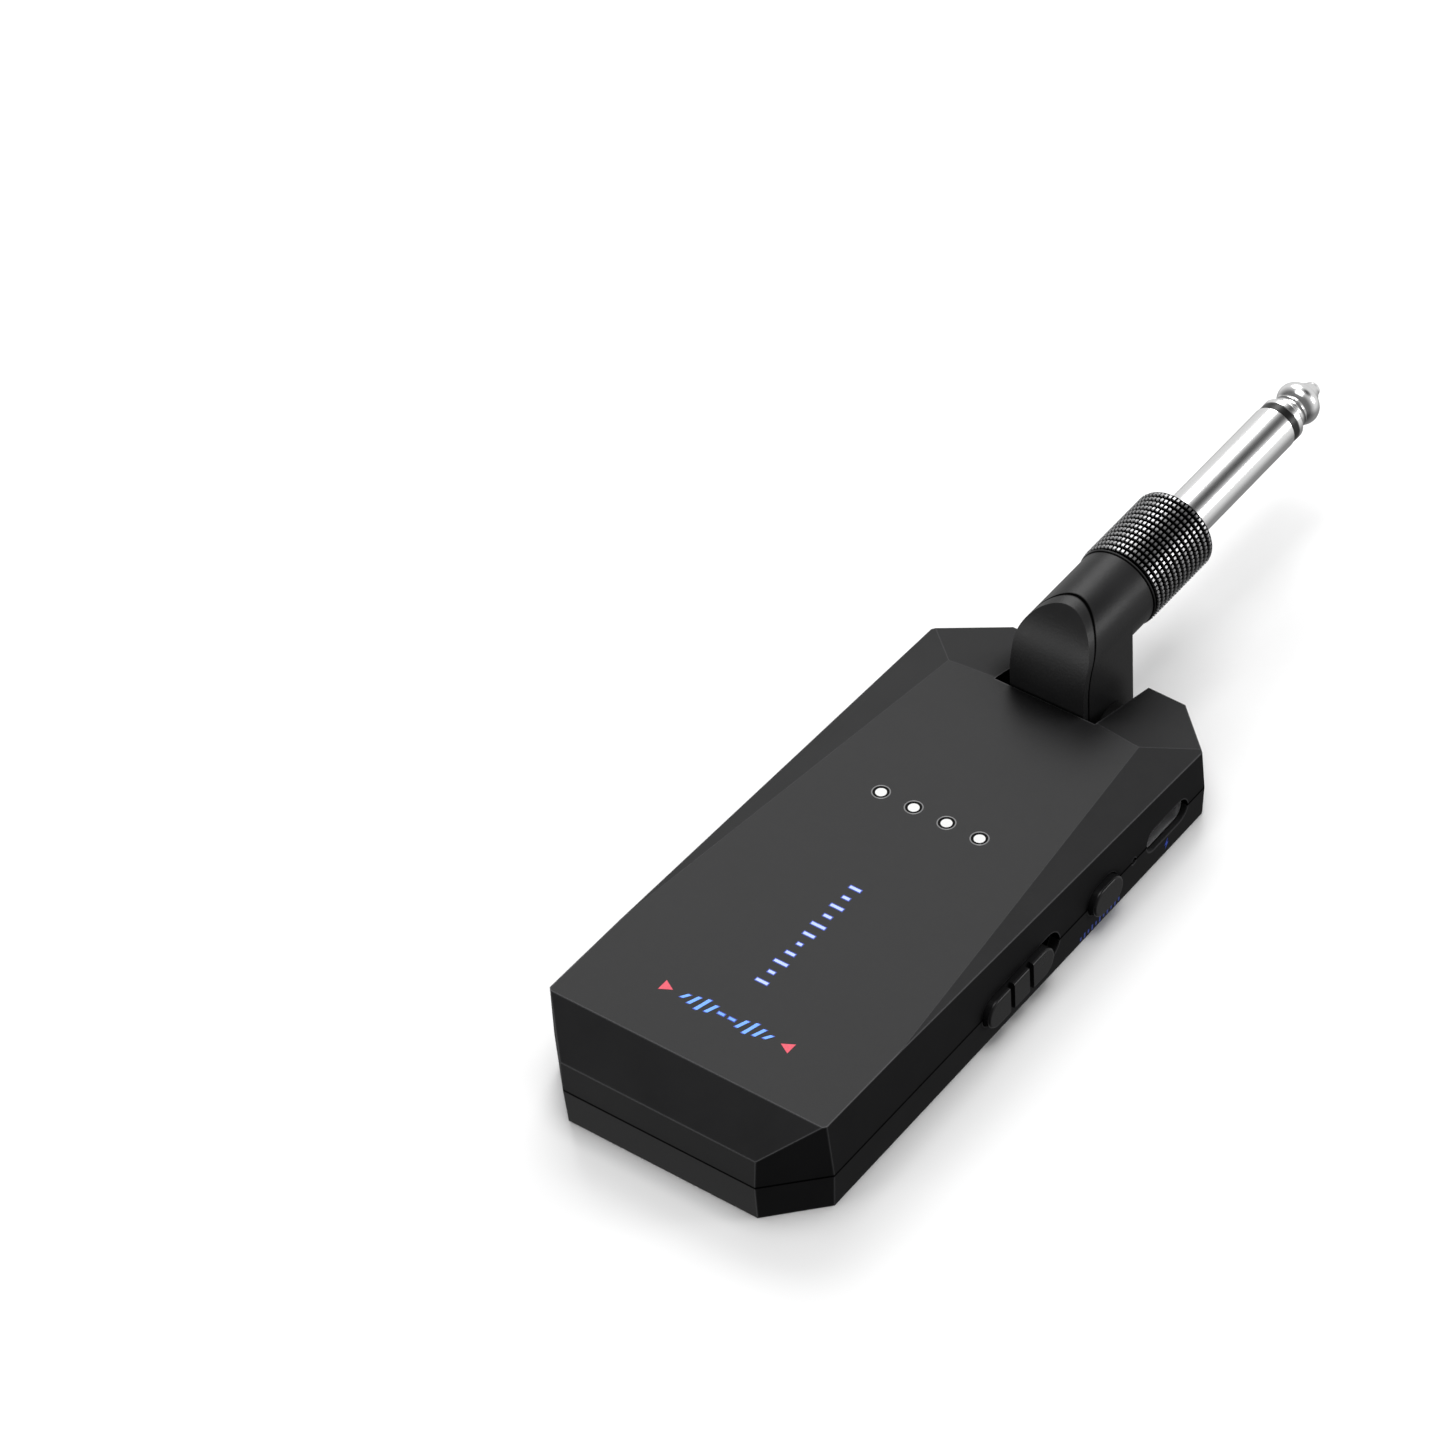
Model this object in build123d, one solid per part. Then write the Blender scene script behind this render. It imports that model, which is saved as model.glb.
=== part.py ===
from build123d import *
import os

# Wireless guitar transmitter with a fold-out jack plug.
# Millimetres. Origin at the centre of the housing's flat bottom, +Y towards the plug, +Z up,
# the controls and the charging port on the +X side.

# ---- housing ----
body_length = 95.3
body_width = 42.3
front_height = 14.4          # top face above its front edge
rear_height = 12.4           # top face above its rear edge
front_rim_height = 10.3      # upper edge of the front wall
rear_rim_height = 8.9        # upper edge of the rear wall
front_edge_width = 28.9      # front wall between its two corner facets
rear_edge_width = 26.8
front_corner_length = 7.0    # corner facets, measured along Y
rear_corner_length = 7.7
front_bevel_length = 6.2
top_rear_setback = 12.8      # rear edge of the top face, in from the rear wall
top_rear_width = 29.2        # top face at its rear edge
facet_start = 21.0           # where the long side facets leave the top edge, from the front
ridge_rear_height = 10.7     # long side ridge at the rear corner facet
rear_facet_tilt = 0.025      # fall of each rear facet per mm outwards
seam_front_height = 5.7
seam_rear_height = 4.6
upper_draft = 0.045          # walls lean in per mm above the seam
lower_draft = 0.06           # walls lean in per mm below the seam
front_corner_draft = 0.0     # the front corner facets stand upright above the seam
wall = 1.5
lip_height = 1.2
lip_thickness = 0.7
lip_clearance = 0.1
lip_bite = 0.3               # root of the lip set into the lower wall
lip_room = 0.4               # gaps in the lip, past whatever needs them

# ---- plug arm hinge ----
hinge_from_rear = 6.35
hinge_height = 6.2
arm_width = 11.3             # post and boss are as wide as they are thick
notch_width = 15.4           # between the two notch walls
notch_clearance = 0.4        # notch front wall to the hinge barrel
pin_diameter = 2.5
pin_bore = 1.3               # the signal wires pass through the pin
pin_clearance = 0.05
pin_end_length = 1.0         # pin past the notch wall, each side
clip_thickness = 0.5
clip_diameter = 4.8
washer_diameter = 6.8
washer_clearance = 0.05
saddle_land = 0.9            # saddle wall beside the pin
clip_gap = 0.1

# ---- elbow, collar and plug ----
plug_height = 19.2
elbow_curve_radius = 14.1
elbow_curve_start = 14.0     # height where the outer face starts to curve back
cover_thickness = 1.2
cover_bottom = 10.0
boss_length = 4.7            # boss past the post's rear face
collar_length = 13.5
collar_diameter = 12.0
collar_gap = 0.1
collar_grooves = 12
collar_groove_depth = 0.3
collar_groove_width = 0.35
plug_diameter = 6.35
plug_exposed = 33.4          # collar face to the end of the tip
tip_length = 8.5
contact_relief = 0.1         # insulator and tip are this much thinner than the sleeve
insulator_width = 1.2
stem_proud = 0.3             # threaded stem past the collar's face
sleeve_bore = 4.0
rod_diameter = 2.0
rod_socket = 3.0             # rod inside the tip
tube_clearance = 0.05
tip_shoulder = 1.0           # lengths along the tip from its shoulder, and radii
tip_cone_end, tip_cone_radius = 2.1, 2.45
tip_waist_place, tip_waist_radius = 2.75, 2.0
tip_throat_end, tip_throat_radius = 3.4, 2.3
tip_ball_place, tip_ball_radius = 4.55, 2.95
tip_ball_end, tip_ball_end_radius = 5.6, 2.55
tip_blunt_radius, tip_blunt_length = 0.9, 0.3
thread_diameter = 7.0        # plug stem inside the boss and collar
elbow_cavity_diameter = 9.2
elbow_cavity_length = 6.6
cavity_from_hinge = 2.9
stem_setback = 1.9           # cavity's hinge-side wall to the stem's end
tube_overhang = 0.4          # insulating tube past the stem's end
rod_setback = 0.3
nut_corner_width = 8.9
nut_thickness = 2.0
collar_chamfer = 0.4
wire_channel_width = 5.0
lug_thickness = 0.4
lug_rim = 0.8
lug_tail_width = 1.2
tip_lug_place, tip_lug_reach = 0.9, 4.6
sleeve_lug_place, sleeve_lug_reach = 3.2, 5.2
wire_diameter = 0.9
wire_bend = 0.6
wire_gap = 0.1
pin_wire_out, pin_wire_run = 1.4, 6.0    # wire pair out of the pin's mouth, then along the notch wall

# ---- controls on the side wall ----
slider_from_front = 45.3
slider_length = 14.2
slider_height = 4.3
slider_travel = 2.4
slider_grooves = 2
slider_groove_width = 0.9
slider_groove_pitch = 4.1
slider_groove_depth = 0.8
button_from_front = 64.5
button_length = 6.4
button_height = 4.2
button_travel = 0.5
control_proud = 1.0
control_gap = 0.15           # controls to the edge of their openings
flange_gap = 0.35            # inner flange to the wall
flange_thickness = 0.8
flange_border = 0.9          # flange past the control, along Y
flange_rim = 0.5             # flange past the control, along Z
control_round = 0.35
slider_pocket_depth = 0.7
usb_from_rear = 16.2
usb_length = 8.94
usb_height = 3.26
usb_depth = 7.3
usb_wall = 0.3
usb_recess = 0.9             # shell mouth behind the outer wall face
usb_gap = 0.2
tongue_length = 6.7
tongue_thickness = 0.7
tongue_setback = 0.8
usb_back = 1.0               # thickness of the port's closed end
pinhole_from_rear = 23.8
pinhole_diameter = 1.0

# ---- light guides ----
light_from_front = 57.5
light_count = 4
light_pitch = 5.0
guide_diameter = 1.5
guide_gap = 0.05
guide_ring_diameter = 2.3
guide_ring_depth = 0.25
guide_bar_thickness = 1.0
guide_bar_width = 1.2
guide_bar_drop = 1.0         # bar below the upper casing's inner face
guide_sink = 0.05
led_width, led_length, led_height = 1.6, 1.0, 0.7
guide_above_led = 0.1
charge_led_width, charge_led_depth = 1.6, 1.4
charge_led_rise = 0.5
charge_led_from_wall = 1.6
charge_lens_gap = 0.1
charge_lens_sink = 0.25

# ---- inside ----
board_thickness = 1.0
board_side_gap = 0.8         # board edge to the inner flange of the controls
board_from_front = 8.0
board_from_rear = 10.9
board_gap = 0.5              # board edge to the notch walls
board_screw_diameter = 1.6
board_screw_head = 2.8
board_screw_head_height = 0.8
board_screw_length = 2.1
board_screw_inset = 3.2      # from the board's side edges
board_screw_rear, board_screw_front = 14.0, 2.5     # along Y, either side of the lamps
board_post_diameter = 3.4
board_hole_gap = 0.2
board_pillar_gap = 0.6
screw_diameter = 2.0
screw_head_diameter = 3.8
screw_head_height = 1.4
screw_sink = 0.2             # head below the bottom face
screw_hole_gap = 0.3
screw_hole_spare = 2.0       # pilot hole past the screw's end
screw_boss_wall = 1.2
screw_length = 7.5
recess_span, recess_slot, recess_depth = 0.6, 0.16, 0.55    # cross recess, as shares of the head
front_screw_x, front_screw_from_front = 13.5, 5.4
rear_screw_from_rear = 8.2
rear_screw_gap = 2.2         # hinge pin's end to the rear screw pillars
battery_length = 36.0
battery_thickness = 6.5
battery_from_front = 9.2
battery_side_gap = 2.4       # battery to the -X wall
battery_switch_gap = 2.05    # battery to the slide switch
battery_rounding = 0.3       # as a share of its thickness
pad_thickness = 0.8
pad_end_border, pad_side_border = 3.0, 4.0
connector_width, connector_length, connector_height = 5.4, 4.0, 3.0
connector_inset = 4.2        # from the board's -X edge
lead_length = 3.6
lead_drop = 1.6              # leads below the middle of the battery
lead_places = (1.5, 3.9)     # across the connector
shield_x, shield_width, shield_length, shield_height = -9.0, 14.0, 12.0, 2.2
shield_from_light = 3.4
shield_wall = 0.2
chip_border, radio_chip_length, radio_chip_height = 2.0, 7.0, 1.0
radio_chip_x, radio_chip_width = -6.0, 7.0
antenna_inset = 1.0
antenna_thickness, antenna_length = 0.4, 17.0
antenna_from_light = 8.0
antenna_low, antenna_high = 1.6, 4.2
antenna_foot_width, antenna_foot_pitch = 1.4, 4.0
converter_x, converter_from_light, converter_size = 8.6, 6.0, (4.0, 5.0, 1.0)
charger_x, charger_from_light, charger_size = 9.2, 14.5, (3.0, 3.0, 0.8)
memory_inset, memory_from_light, memory_size = 3.9, 0.8, (3.0, 4.0, 0.9)
gate_gap, gate_from_light, gate_size = 3.8, -6.5, (3.0, 3.4, 1.1)
resistor_count, resistor_pitch, resistor_size = 5, 2.0, (0.8, 1.6, 0.6)
resistor_from_light = -5.2
switch_length, switch_depth, switch_height = 8.6, 4.0, 3.6
switch_gap = 1.2             # switch body to the slider's flange
switch_window_depth = 1.2
window_gap = 0.3             # lever to the ends of its window
window_rise = 0.15           # lever to the window's edges
tact_length, tact_depth, tact_height = 4.6, 2.4, 3.3
tact_gap = 1.1
tact_window_gap = 0.15
plunger_sunk = 0.6           # plunger inside the switch body
plunger_room = 0.3           # spare depth behind the pressed plunger
lever_width, lever_height = 1.6, 1.6
lever_sunk = 1.0
lever_in_cap = 0.6

# ---- worked out from the sizes above ----
front_y = -body_length / 2
rear_y = body_length / 2
half_width = body_width / 2
hinge_y = rear_y - hinge_from_rear
arm_half = arm_width / 2
notch_half = notch_width / 2
notch_front_y = hinge_y - arm_half - notch_clearance
post_front_y = hinge_y - arm_half
post_rear_y = hinge_y + arm_half
boss_end_y = post_rear_y + boss_length
collar_front_y = boss_end_y + collar_gap + collar_length
tip_end_y = collar_front_y + plug_exposed
insulator_front_y = tip_end_y - tip_length
sleeve_front_y = insulator_front_y - insulator_width
slider_y = front_y + slider_from_front
button_y = front_y + button_from_front
usb_y = rear_y - usb_from_rear
pinhole_y = rear_y - pinhole_from_rear
light_y = front_y + light_from_front
wall_inner_x = half_width - wall
cavity_rear_y = hinge_y - cavity_from_hinge
stem_rear_y = cavity_rear_y + stem_setback
contact_diameter = plug_diameter - contact_relief
flange_outer_x = wall_inner_x - flange_gap
flange_inner_x = flange_outer_x - flange_thickness
switch_front_x = flange_inner_x - switch_gap
switch_back_x = switch_front_x - switch_depth
tact_front_x = flange_inner_x - tact_gap
board_edge_x = flange_inner_x - board_side_gap
battery_x0 = battery_side_gap - wall_inner_x
battery_x1 = switch_back_x - battery_switch_gap
battery_y = front_y + battery_from_front
connector_x = connector_inset - board_edge_x
connector_y = battery_y + battery_length + lead_length
boss_diameter = screw_diameter + 2 * screw_boss_wall
pin_end_x = notch_half + wall + pin_end_length
rear_screw_x = pin_end_x + rear_screw_gap + boss_diameter / 2
top_slope = (front_height - rear_height) / (body_length - front_bevel_length - top_rear_setback)


def seam_height(y):
    """Height of the tilted parting line at y."""
    return seam_front_height + (seam_rear_height - seam_front_height) * (y - front_y) / body_length


def top_height(y):
    """Height of the sloping top face at y."""
    return front_height - top_slope * (y - front_y - front_bevel_length)


slider_z = seam_height(slider_y)
button_z = seam_height(button_y)
usb_z = seam_height(usb_y)
pinhole_z = seam_height(pinhole_y)
board_top = usb_z - usb_height / 2
board_bottom = board_top - board_thickness
battery_bottom = board_top + pad_thickness


def span_box(x0, x1, y0, y1, z0, z1):
    """Box between two opposite corners."""
    return Pos((x0 + x1) / 2, (y0 + y1) / 2, (z0 + z1) / 2) * Box(x1 - x0, y1 - y0, z1 - z0)


def rod_x(x0, x1, y, z, diameter):
    return Pos((x0 + x1) / 2, y, z) * Rot(0, 90, 0) * Cylinder(diameter / 2, x1 - x0)


def rod_y(x, y0, y1, z, diameter):
    return Pos(x, (y0 + y1) / 2, z) * Rot(90, 0, 0) * Cylinder(diameter / 2, y1 - y0)


def rod_z(x, y, z0, z1, diameter):
    return Pos(x, y, (z0 + z1) / 2) * Cylinder(diameter / 2, z1 - z0)


def obround_x(x0, x1, y, z, length, height):
    """Pill-shaped bar along X, longer in Y than in Z."""
    outline = Plane(origin=(x0, y, z), x_dir=(0, 1, 0), z_dir=(1, 0, 0)) * SlotOverall(length, height)
    return extrude(outline, x1 - x0)


def on_board(x, y, size):
    """Box of a given width, length and height that stands on the board, centred on x and y."""
    width, length, height = size
    return Pos(x, y, board_top + height / 2) * Box(width, length, height)


def trimmed(shape, a, b, c, inset):
    """Shape cut by the plane through a, b and c moved inwards; the housing's middle stays."""
    a, b, c = Vector(*a), Vector(*b), Vector(*c)
    normal = (b - a).cross(c - a).normalized()
    middle = Vector(0, 0, seam_height(0))
    if normal.dot(middle - a) > 0:
        normal = -normal
    return split(shape, bisect_by=Plane(origin=a - normal * inset, z_dir=normal), keep=Keep.BOTTOM)


def widest_outline():
    """Corners of the housing's outline at the parting line, anticlockwise from the front right."""
    right = [
        (front_edge_width / 2, front_y),
        (half_width, front_y + front_corner_length),
        (half_width, rear_y - rear_corner_length),
        (rear_edge_width / 2, rear_y),
    ]
    return right + [(-x, y) for x, y in reversed(right)]


def housing_solid(inset):
    """Faceted housing as one convex solid, shrunk by inset on every face."""
    solid = span_box(-body_width, body_width, -body_length, body_length, inset, 2 * front_height)
    outline = widest_outline()
    for (px, py), (qx, qy) in zip(outline, outline[1:] + outline[:1]):
        inward = Vector(py - qy, qx - px).normalized()
        at_front_corner = py != qy and min(py, qy) == front_y
        draft_above = front_corner_draft if at_front_corner else upper_draft
        for rise, draft in ((front_height, draft_above), (-front_height, lower_draft)):
            lean = inward * draft * abs(rise)
            solid = trimmed(
                solid,
                (px, py, seam_height(py)),
                (qx, qy, seam_height(qy)),
                (px + lean.X, py + lean.Y, seam_height(py) + rise),
                inset,
            )
    bevel_y = front_y + front_bevel_length
    rim_y = front_y + upper_draft * (front_rim_height - seam_front_height)
    top_rear_y = rear_y - top_rear_setback
    solid = trimmed(solid, (0, bevel_y, front_height), (half_width, bevel_y, front_height),
                    (0, top_rear_y, rear_height), inset)
    solid = trimmed(solid, (0, bevel_y, front_height), (half_width, bevel_y, front_height),
                    (0, rim_y, front_rim_height), inset)
    facet_y = front_y + facet_start
    facet_x = half_width - upper_draft * (top_height(facet_y) - seam_height(facet_y))
    corner_y = rear_y - rear_corner_length
    corner_x = half_width - upper_draft * (ridge_rear_height - seam_height(corner_y))
    rear_x = top_rear_width / 2
    for side in (1, -1):
        top_corner = (side * rear_x, top_rear_y, rear_height)
        solid = trimmed(solid, (side * facet_x, facet_y, top_height(facet_y)), top_corner,
                        (side * corner_x, corner_y, ridge_rear_height), inset)
        outer = (side * (rear_x + half_width), top_rear_y, rear_height - half_width * rear_facet_tilt)
        solid = trimmed(solid, top_corner, (side * rear_x, rear_y, rear_rim_height), outer, inset)
    return solid


def above_seam(shape, gap=0.0):
    """Part of shape above the parting plane raised by gap."""
    return split(shape, bisect_by=seam_plane(gap), keep=Keep.TOP)


def below_seam(shape, gap=0.0):
    return split(shape, bisect_by=seam_plane(gap), keep=Keep.BOTTOM)


def seam_plane(gap):
    slope = (seam_rear_height - seam_front_height) / body_length
    return Plane(origin=(0, 0, seam_height(0) + gap), z_dir=(0, -slope, 1))


def notch_box(border):
    """Space for the plug arm at the rear, widened by border on its three walls."""
    reach = body_length
    return span_box(-notch_half - border, notch_half + border, notch_front_y - border, reach, -reach, reach)


def screw_places():
    front = front_y + front_screw_from_front
    rear = rear_y - rear_screw_from_rear
    return [(side * x, y) for side in (1, -1) for x, y in ((front_screw_x, front), (rear_screw_x, rear))]


def board_screw_places():
    x = board_edge_x - board_screw_inset
    return [(-x, light_y + board_screw_rear), (x, light_y - board_screw_front)]


def light_places():
    return [((i - (light_count - 1) / 2) * light_pitch, light_y) for i in range(light_count)]


def side_openings():
    """Cutter for the slider slot, the button hole, the charging port and the pinhole."""
    x0, x1 = wall_inner_x - 2 * wall, half_width + wall
    slot_length = slider_length + slider_travel + 2 * control_gap
    cutter = obround_x(x0, x1, slider_y + slider_travel / 2, slider_z, slot_length,
                       slider_height + 2 * control_gap)
    cutter += obround_x(x0, x1, button_y, button_z, button_length + 2 * control_gap,
                        button_height + 2 * control_gap)
    cutter += obround_x(x0, x1, usb_y, usb_z, usb_length + 2 * usb_gap, usb_height + 2 * usb_gap)
    return cutter + rod_x(x0, x1, pinhole_y, pinhole_z, pinhole_diameter)


def lip_clearance_space():
    """Room that the controls, the port, the screw bosses and the notch need in the locating lip."""
    top = 2 * front_height
    flange = slider_length / 2 + flange_border + lip_room
    space = span_box(0, wall_inner_x, slider_y - flange, slider_y + slider_travel + flange, 0, top)
    flange = button_length / 2 + flange_border + lip_room
    space += span_box(0, wall_inner_x, button_y - flange, button_y + flange, 0, top)
    reach = usb_length / 2 + usb_gap + lip_room
    space += span_box(0, wall_inner_x, usb_y - reach, usb_y + reach, 0, top)
    for x, y in screw_places():
        space += rod_z(x, y, 0, top, boss_diameter + 2 * lip_clearance)
    return space + notch_box(wall + lip_room)


def hollow_housing():
    """Whole housing with its inside and the plug notch removed."""
    outer = housing_solid(0)
    inside = housing_solid(wall) - notch_box(wall)
    return outer - inside - notch_box(0)


def pin_slot(width):
    """Slots in both notch walls that let the hinge pin in from below."""
    depth = notch_half + 2 * wall
    return span_box(-depth, depth, hinge_y - width / 2, hinge_y + width / 2, -wall, hinge_height)


def pin_hole():
    depth = notch_half + 2 * wall
    return rod_x(-depth, depth, hinge_y, hinge_height, pin_diameter + 2 * pin_clearance)


def top_shell(housing):
    """Upper casing with screw bosses, light-guide holes and the upper half of each opening."""
    inside = housing_solid(wall / 2)
    shell = above_seam(housing)
    for x, y in screw_places():
        shell += above_seam(rod_z(x, y, 0, 2 * front_height, boss_diameter), lip_height) & inside
        shell -= rod_z(x, y, 0, screw_sink + screw_length + screw_hole_spare, screw_diameter)
    for x, y in light_places():
        shell -= rod_z(x, y, rear_height - 2 * wall, front_height, guide_diameter + 2 * guide_gap)
        shell -= rod_z(x, y, top_height(y) - guide_ring_depth, 2 * front_height, guide_ring_diameter)
    saddle_width = pin_diameter + 2 * (saddle_land + pin_clearance)
    return shell - side_openings() - pin_slot(saddle_width) - pin_hole()


def locating_lip():
    """Thin rim on the lower casing that stands inside the upper one."""
    inner = housing_solid(wall + lip_clearance + lip_thickness)
    base = above_seam(below_seam(housing_solid(wall - lip_bite) - inner), -lip_height)
    rim = below_seam(above_seam(housing_solid(wall + lip_clearance) - inner), lip_height)
    return (base + rim) - lip_clearance_space()


def bottom_shell(housing):
    """Lower casing with the locating lip, screw pillars, board posts and pin saddles."""
    inside = below_seam(housing_solid(wall / 2)) + housing_solid(wall + lip_clearance)
    shell = below_seam(housing) + locating_lip()
    for x, y in screw_places():
        shell += below_seam(rod_z(x, y, 0, 2 * front_height, boss_diameter) & inside, lip_height)
        shell -= rod_z(x, y, -wall, front_height, screw_diameter + screw_hole_gap)
        shell -= rod_z(x, y, -wall, screw_sink + screw_head_height, screw_head_diameter + screw_hole_gap)
    for x, y in board_screw_places():
        shell += rod_z(x, y, wall / 2, board_bottom, board_post_diameter)
        shell -= rod_z(x, y, wall / 2, board_top, board_screw_diameter)
    shell = shell - side_openings()
    saddle = span_box(-notch_half - wall, notch_half + wall, hinge_y - pin_diameter / 2 - saddle_land,
                      hinge_y + pin_diameter / 2 + saddle_land, seam_rear_height - wall, hinge_height)
    saddle -= span_box(-notch_half, notch_half, front_y, 2 * rear_y, 0, front_height)
    return shell + saddle - pin_hole()


def screw_z(x, y, z, length, diameter, head_diameter, head_height):
    """Screw with its head below its shank, and a cross recess in the head."""
    screw = rod_z(x, y, z, z + head_height, head_diameter) + rod_z(x, y, z, z + length, diameter)
    arm, slot, depth = head_diameter * recess_span, head_diameter * recess_slot, head_height * recess_depth
    screw -= Pos(x, y, z + depth / 2) * Box(arm, slot, depth)
    return screw - Pos(x, y, z + depth / 2) * Box(slot, arm, depth)


def shell_screws():
    return [screw_z(x, y, screw_sink, screw_length, screw_diameter, screw_head_diameter, screw_head_height)
            for x, y in screw_places()]


def board_screws():
    screw = screw_z(0, 0, 0, board_screw_length, board_screw_diameter, board_screw_head,
                    board_screw_head_height)
    return [Pos(x, y, board_top + board_screw_head_height) * Rot(180, 0, 0) * screw
            for x, y in board_screw_places()]


def main_board():
    """Circuit board cut away around the notch walls, the screw pillars and its own screws."""
    board = span_box(-board_edge_x, board_edge_x, front_y + board_from_front, rear_y - board_from_rear,
                     board_bottom, board_top)
    board -= notch_box(wall + board_gap)
    for x, y in screw_places():
        board -= rod_z(x, y, 0, front_height, boss_diameter + board_pillar_gap)
    for x, y in board_screw_places():
        board -= rod_z(x, y, 0, front_height, board_screw_diameter + board_hole_gap)
    return board


def battery_cell():
    """Pouch cell with rounded long edges."""
    cell = span_box(battery_x0, battery_x1, battery_y, battery_y + battery_length,
                    battery_bottom, battery_bottom + battery_thickness)
    return fillet(cell.edges().filter_by(Axis.Y), battery_thickness * battery_rounding)


def battery_pad():
    return span_box(battery_x0 + pad_side_border, battery_x1 - pad_side_border, battery_y + pad_end_border,
                    battery_y + battery_length - pad_end_border, board_top, battery_bottom)


def battery_connector():
    """Socket that the battery leads plug into."""
    return span_box(connector_x, connector_x + connector_width, connector_y, connector_y + connector_length,
                    board_top, board_top + connector_height)


def battery_leads():
    """Two leads from the cell's rear edge to the connector."""
    z = battery_bottom + battery_thickness / 2 - lead_drop
    return [rod_y(connector_x + place, connector_y - lead_length, connector_y, z, wire_diameter)
            for place in lead_places]


def radio_shield():
    """Screening can over the radio, open towards the board."""
    x1, y0, top = shield_x + shield_width, light_y + shield_from_light, board_top + shield_height
    y1 = y0 + shield_length
    can = span_box(shield_x, x1, y0, y1, board_top, top)
    return can - span_box(shield_x + shield_wall, x1 - shield_wall, y0 + shield_wall, y1 - shield_wall,
                          board_top, top - shield_wall)


def radio_chip():
    y0 = light_y + shield_from_light + chip_border
    return span_box(radio_chip_x, radio_chip_x + radio_chip_width, y0, y0 + radio_chip_length,
                    board_top, board_top + radio_chip_height)


def antenna():
    """Folded metal strip standing on the board's far edge."""
    x0, y0 = antenna_inset - board_edge_x, light_y - antenna_from_light
    x1 = x0 + antenna_thickness
    strip = span_box(x0, x1, y0, y0 + antenna_length, board_top + antenna_low, board_top + antenna_high)
    for foot_y in (y0, y0 + antenna_foot_pitch):
        strip += span_box(x0, x1, foot_y, foot_y + antenna_foot_width, board_top, board_top + antenna_high)
    return strip


def board_chips():
    """Converter, charger, memory, switch driver and a row of lamp resistors."""
    chips = [
        on_board(converter_x, light_y + converter_from_light, converter_size),
        on_board(charger_x, light_y + charger_from_light, charger_size),
        on_board(memory_inset - board_edge_x, light_y + memory_from_light, memory_size),
        on_board(switch_back_x - gate_gap, light_y + gate_from_light, gate_size),
    ]
    middle = (resistor_count - 1) / 2
    return chips + [on_board((i - middle) * resistor_pitch, light_y + resistor_from_light, resistor_size)
                    for i in range(resistor_count)]


def status_leds():
    return [on_board(x, y, (led_width, led_length, led_height)) for x, y in light_places()]


def light_guide():
    """Clear rods on one carrier bar, from the lamps to the top face."""
    bar_z = rear_height - 2 * wall - guide_bar_drop
    reach = light_pitch * (light_count - 1) / 2 + guide_diameter
    guide = span_box(-reach, reach, light_y - guide_bar_width / 2, light_y + guide_bar_width / 2,
                     bar_z, bar_z + guide_bar_thickness)
    for x, y in light_places():
        guide += rod_z(x, y, board_top + led_height + guide_above_led, top_height(y) - guide_sink,
                       guide_diameter)
    return guide


def charge_led():
    x1 = wall_inner_x - charge_led_from_wall
    half = charge_led_width / 2
    return span_box(x1 - charge_led_depth, x1, pinhole_y - half, pinhole_y + half,
                    board_top, pinhole_z + charge_led_rise)


def charge_lens():
    return rod_x(wall_inner_x - charge_led_from_wall, half_width - charge_lens_sink, pinhole_y, pinhole_z,
                 pinhole_diameter - charge_lens_gap)


def usb_shell():
    """Stamped obround shell of the charging port, closed at its inner end."""
    x1 = half_width - usb_recess
    shell = obround_x(x1 - usb_depth, x1, usb_y, usb_z, usb_length, usb_height)
    bore = obround_x(x1 - usb_depth + usb_back, x1, usb_y, usb_z, usb_length - 2 * usb_wall,
                     usb_height - 2 * usb_wall)
    return shell - bore


def usb_tongue():
    x1 = half_width - usb_recess
    return span_box(x1 - usb_depth + usb_back, x1 - tongue_setback, usb_y - tongue_length / 2,
                    usb_y + tongue_length / 2, usb_z - tongue_thickness / 2, usb_z + tongue_thickness / 2)


def flanged_control(y, z, length, height):
    """Pill-shaped button with an inner flange that the wall holds in."""
    pill = obround_x(flange_outer_x, half_width + control_proud, y, z, length, height)
    pill = fillet(pill.faces().sort_by(Axis.X)[-1].edges(), control_round)
    along, up = length / 2 + flange_border, height / 2 + flange_rim
    return pill + span_box(flange_inner_x, flange_outer_x, y - along, y + along, z - up, z + up)


def power_slider():
    """Sliding switch cap with two grip grooves and a pocket for the switch lever."""
    cap = flanged_control(slider_y, slider_z, slider_length, slider_height)
    x0 = half_width + control_proud - slider_groove_depth
    for i in range(slider_grooves):
        y = slider_y + (i - (slider_grooves - 1) / 2) * slider_groove_pitch
        cap -= span_box(x0, x0 + wall, y - slider_groove_width / 2, y + slider_groove_width / 2,
                        0, front_height)
    half = lever_width / 2 + tube_clearance
    rise = lever_height / 2 + tube_clearance
    return cap - span_box(0, flange_inner_x + slider_pocket_depth, slider_y - half, slider_y + half,
                          slider_z - rise, slider_z + rise)


def slide_switch_body():
    """Board switch with a window that the lever slides along."""
    y = slider_y + slider_travel / 2
    body = span_box(switch_back_x, switch_front_x, y - switch_length / 2, y + switch_length / 2,
                    board_top, board_top + switch_height)
    room = (lever_width + slider_travel) / 2 + window_gap
    rise = lever_height / 2 + window_rise
    return body - span_box(switch_front_x - switch_window_depth, flange_inner_x, y - room, y + room,
                           slider_z - rise, slider_z + rise)


def slide_switch_lever():
    return span_box(switch_front_x - lever_sunk, flange_inner_x + lever_in_cap, slider_y - lever_width / 2,
                    slider_y + lever_width / 2, slider_z - lever_height / 2, slider_z + lever_height / 2)


def channel_button():
    return flanged_control(button_y, button_z, button_length, button_height)


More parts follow.
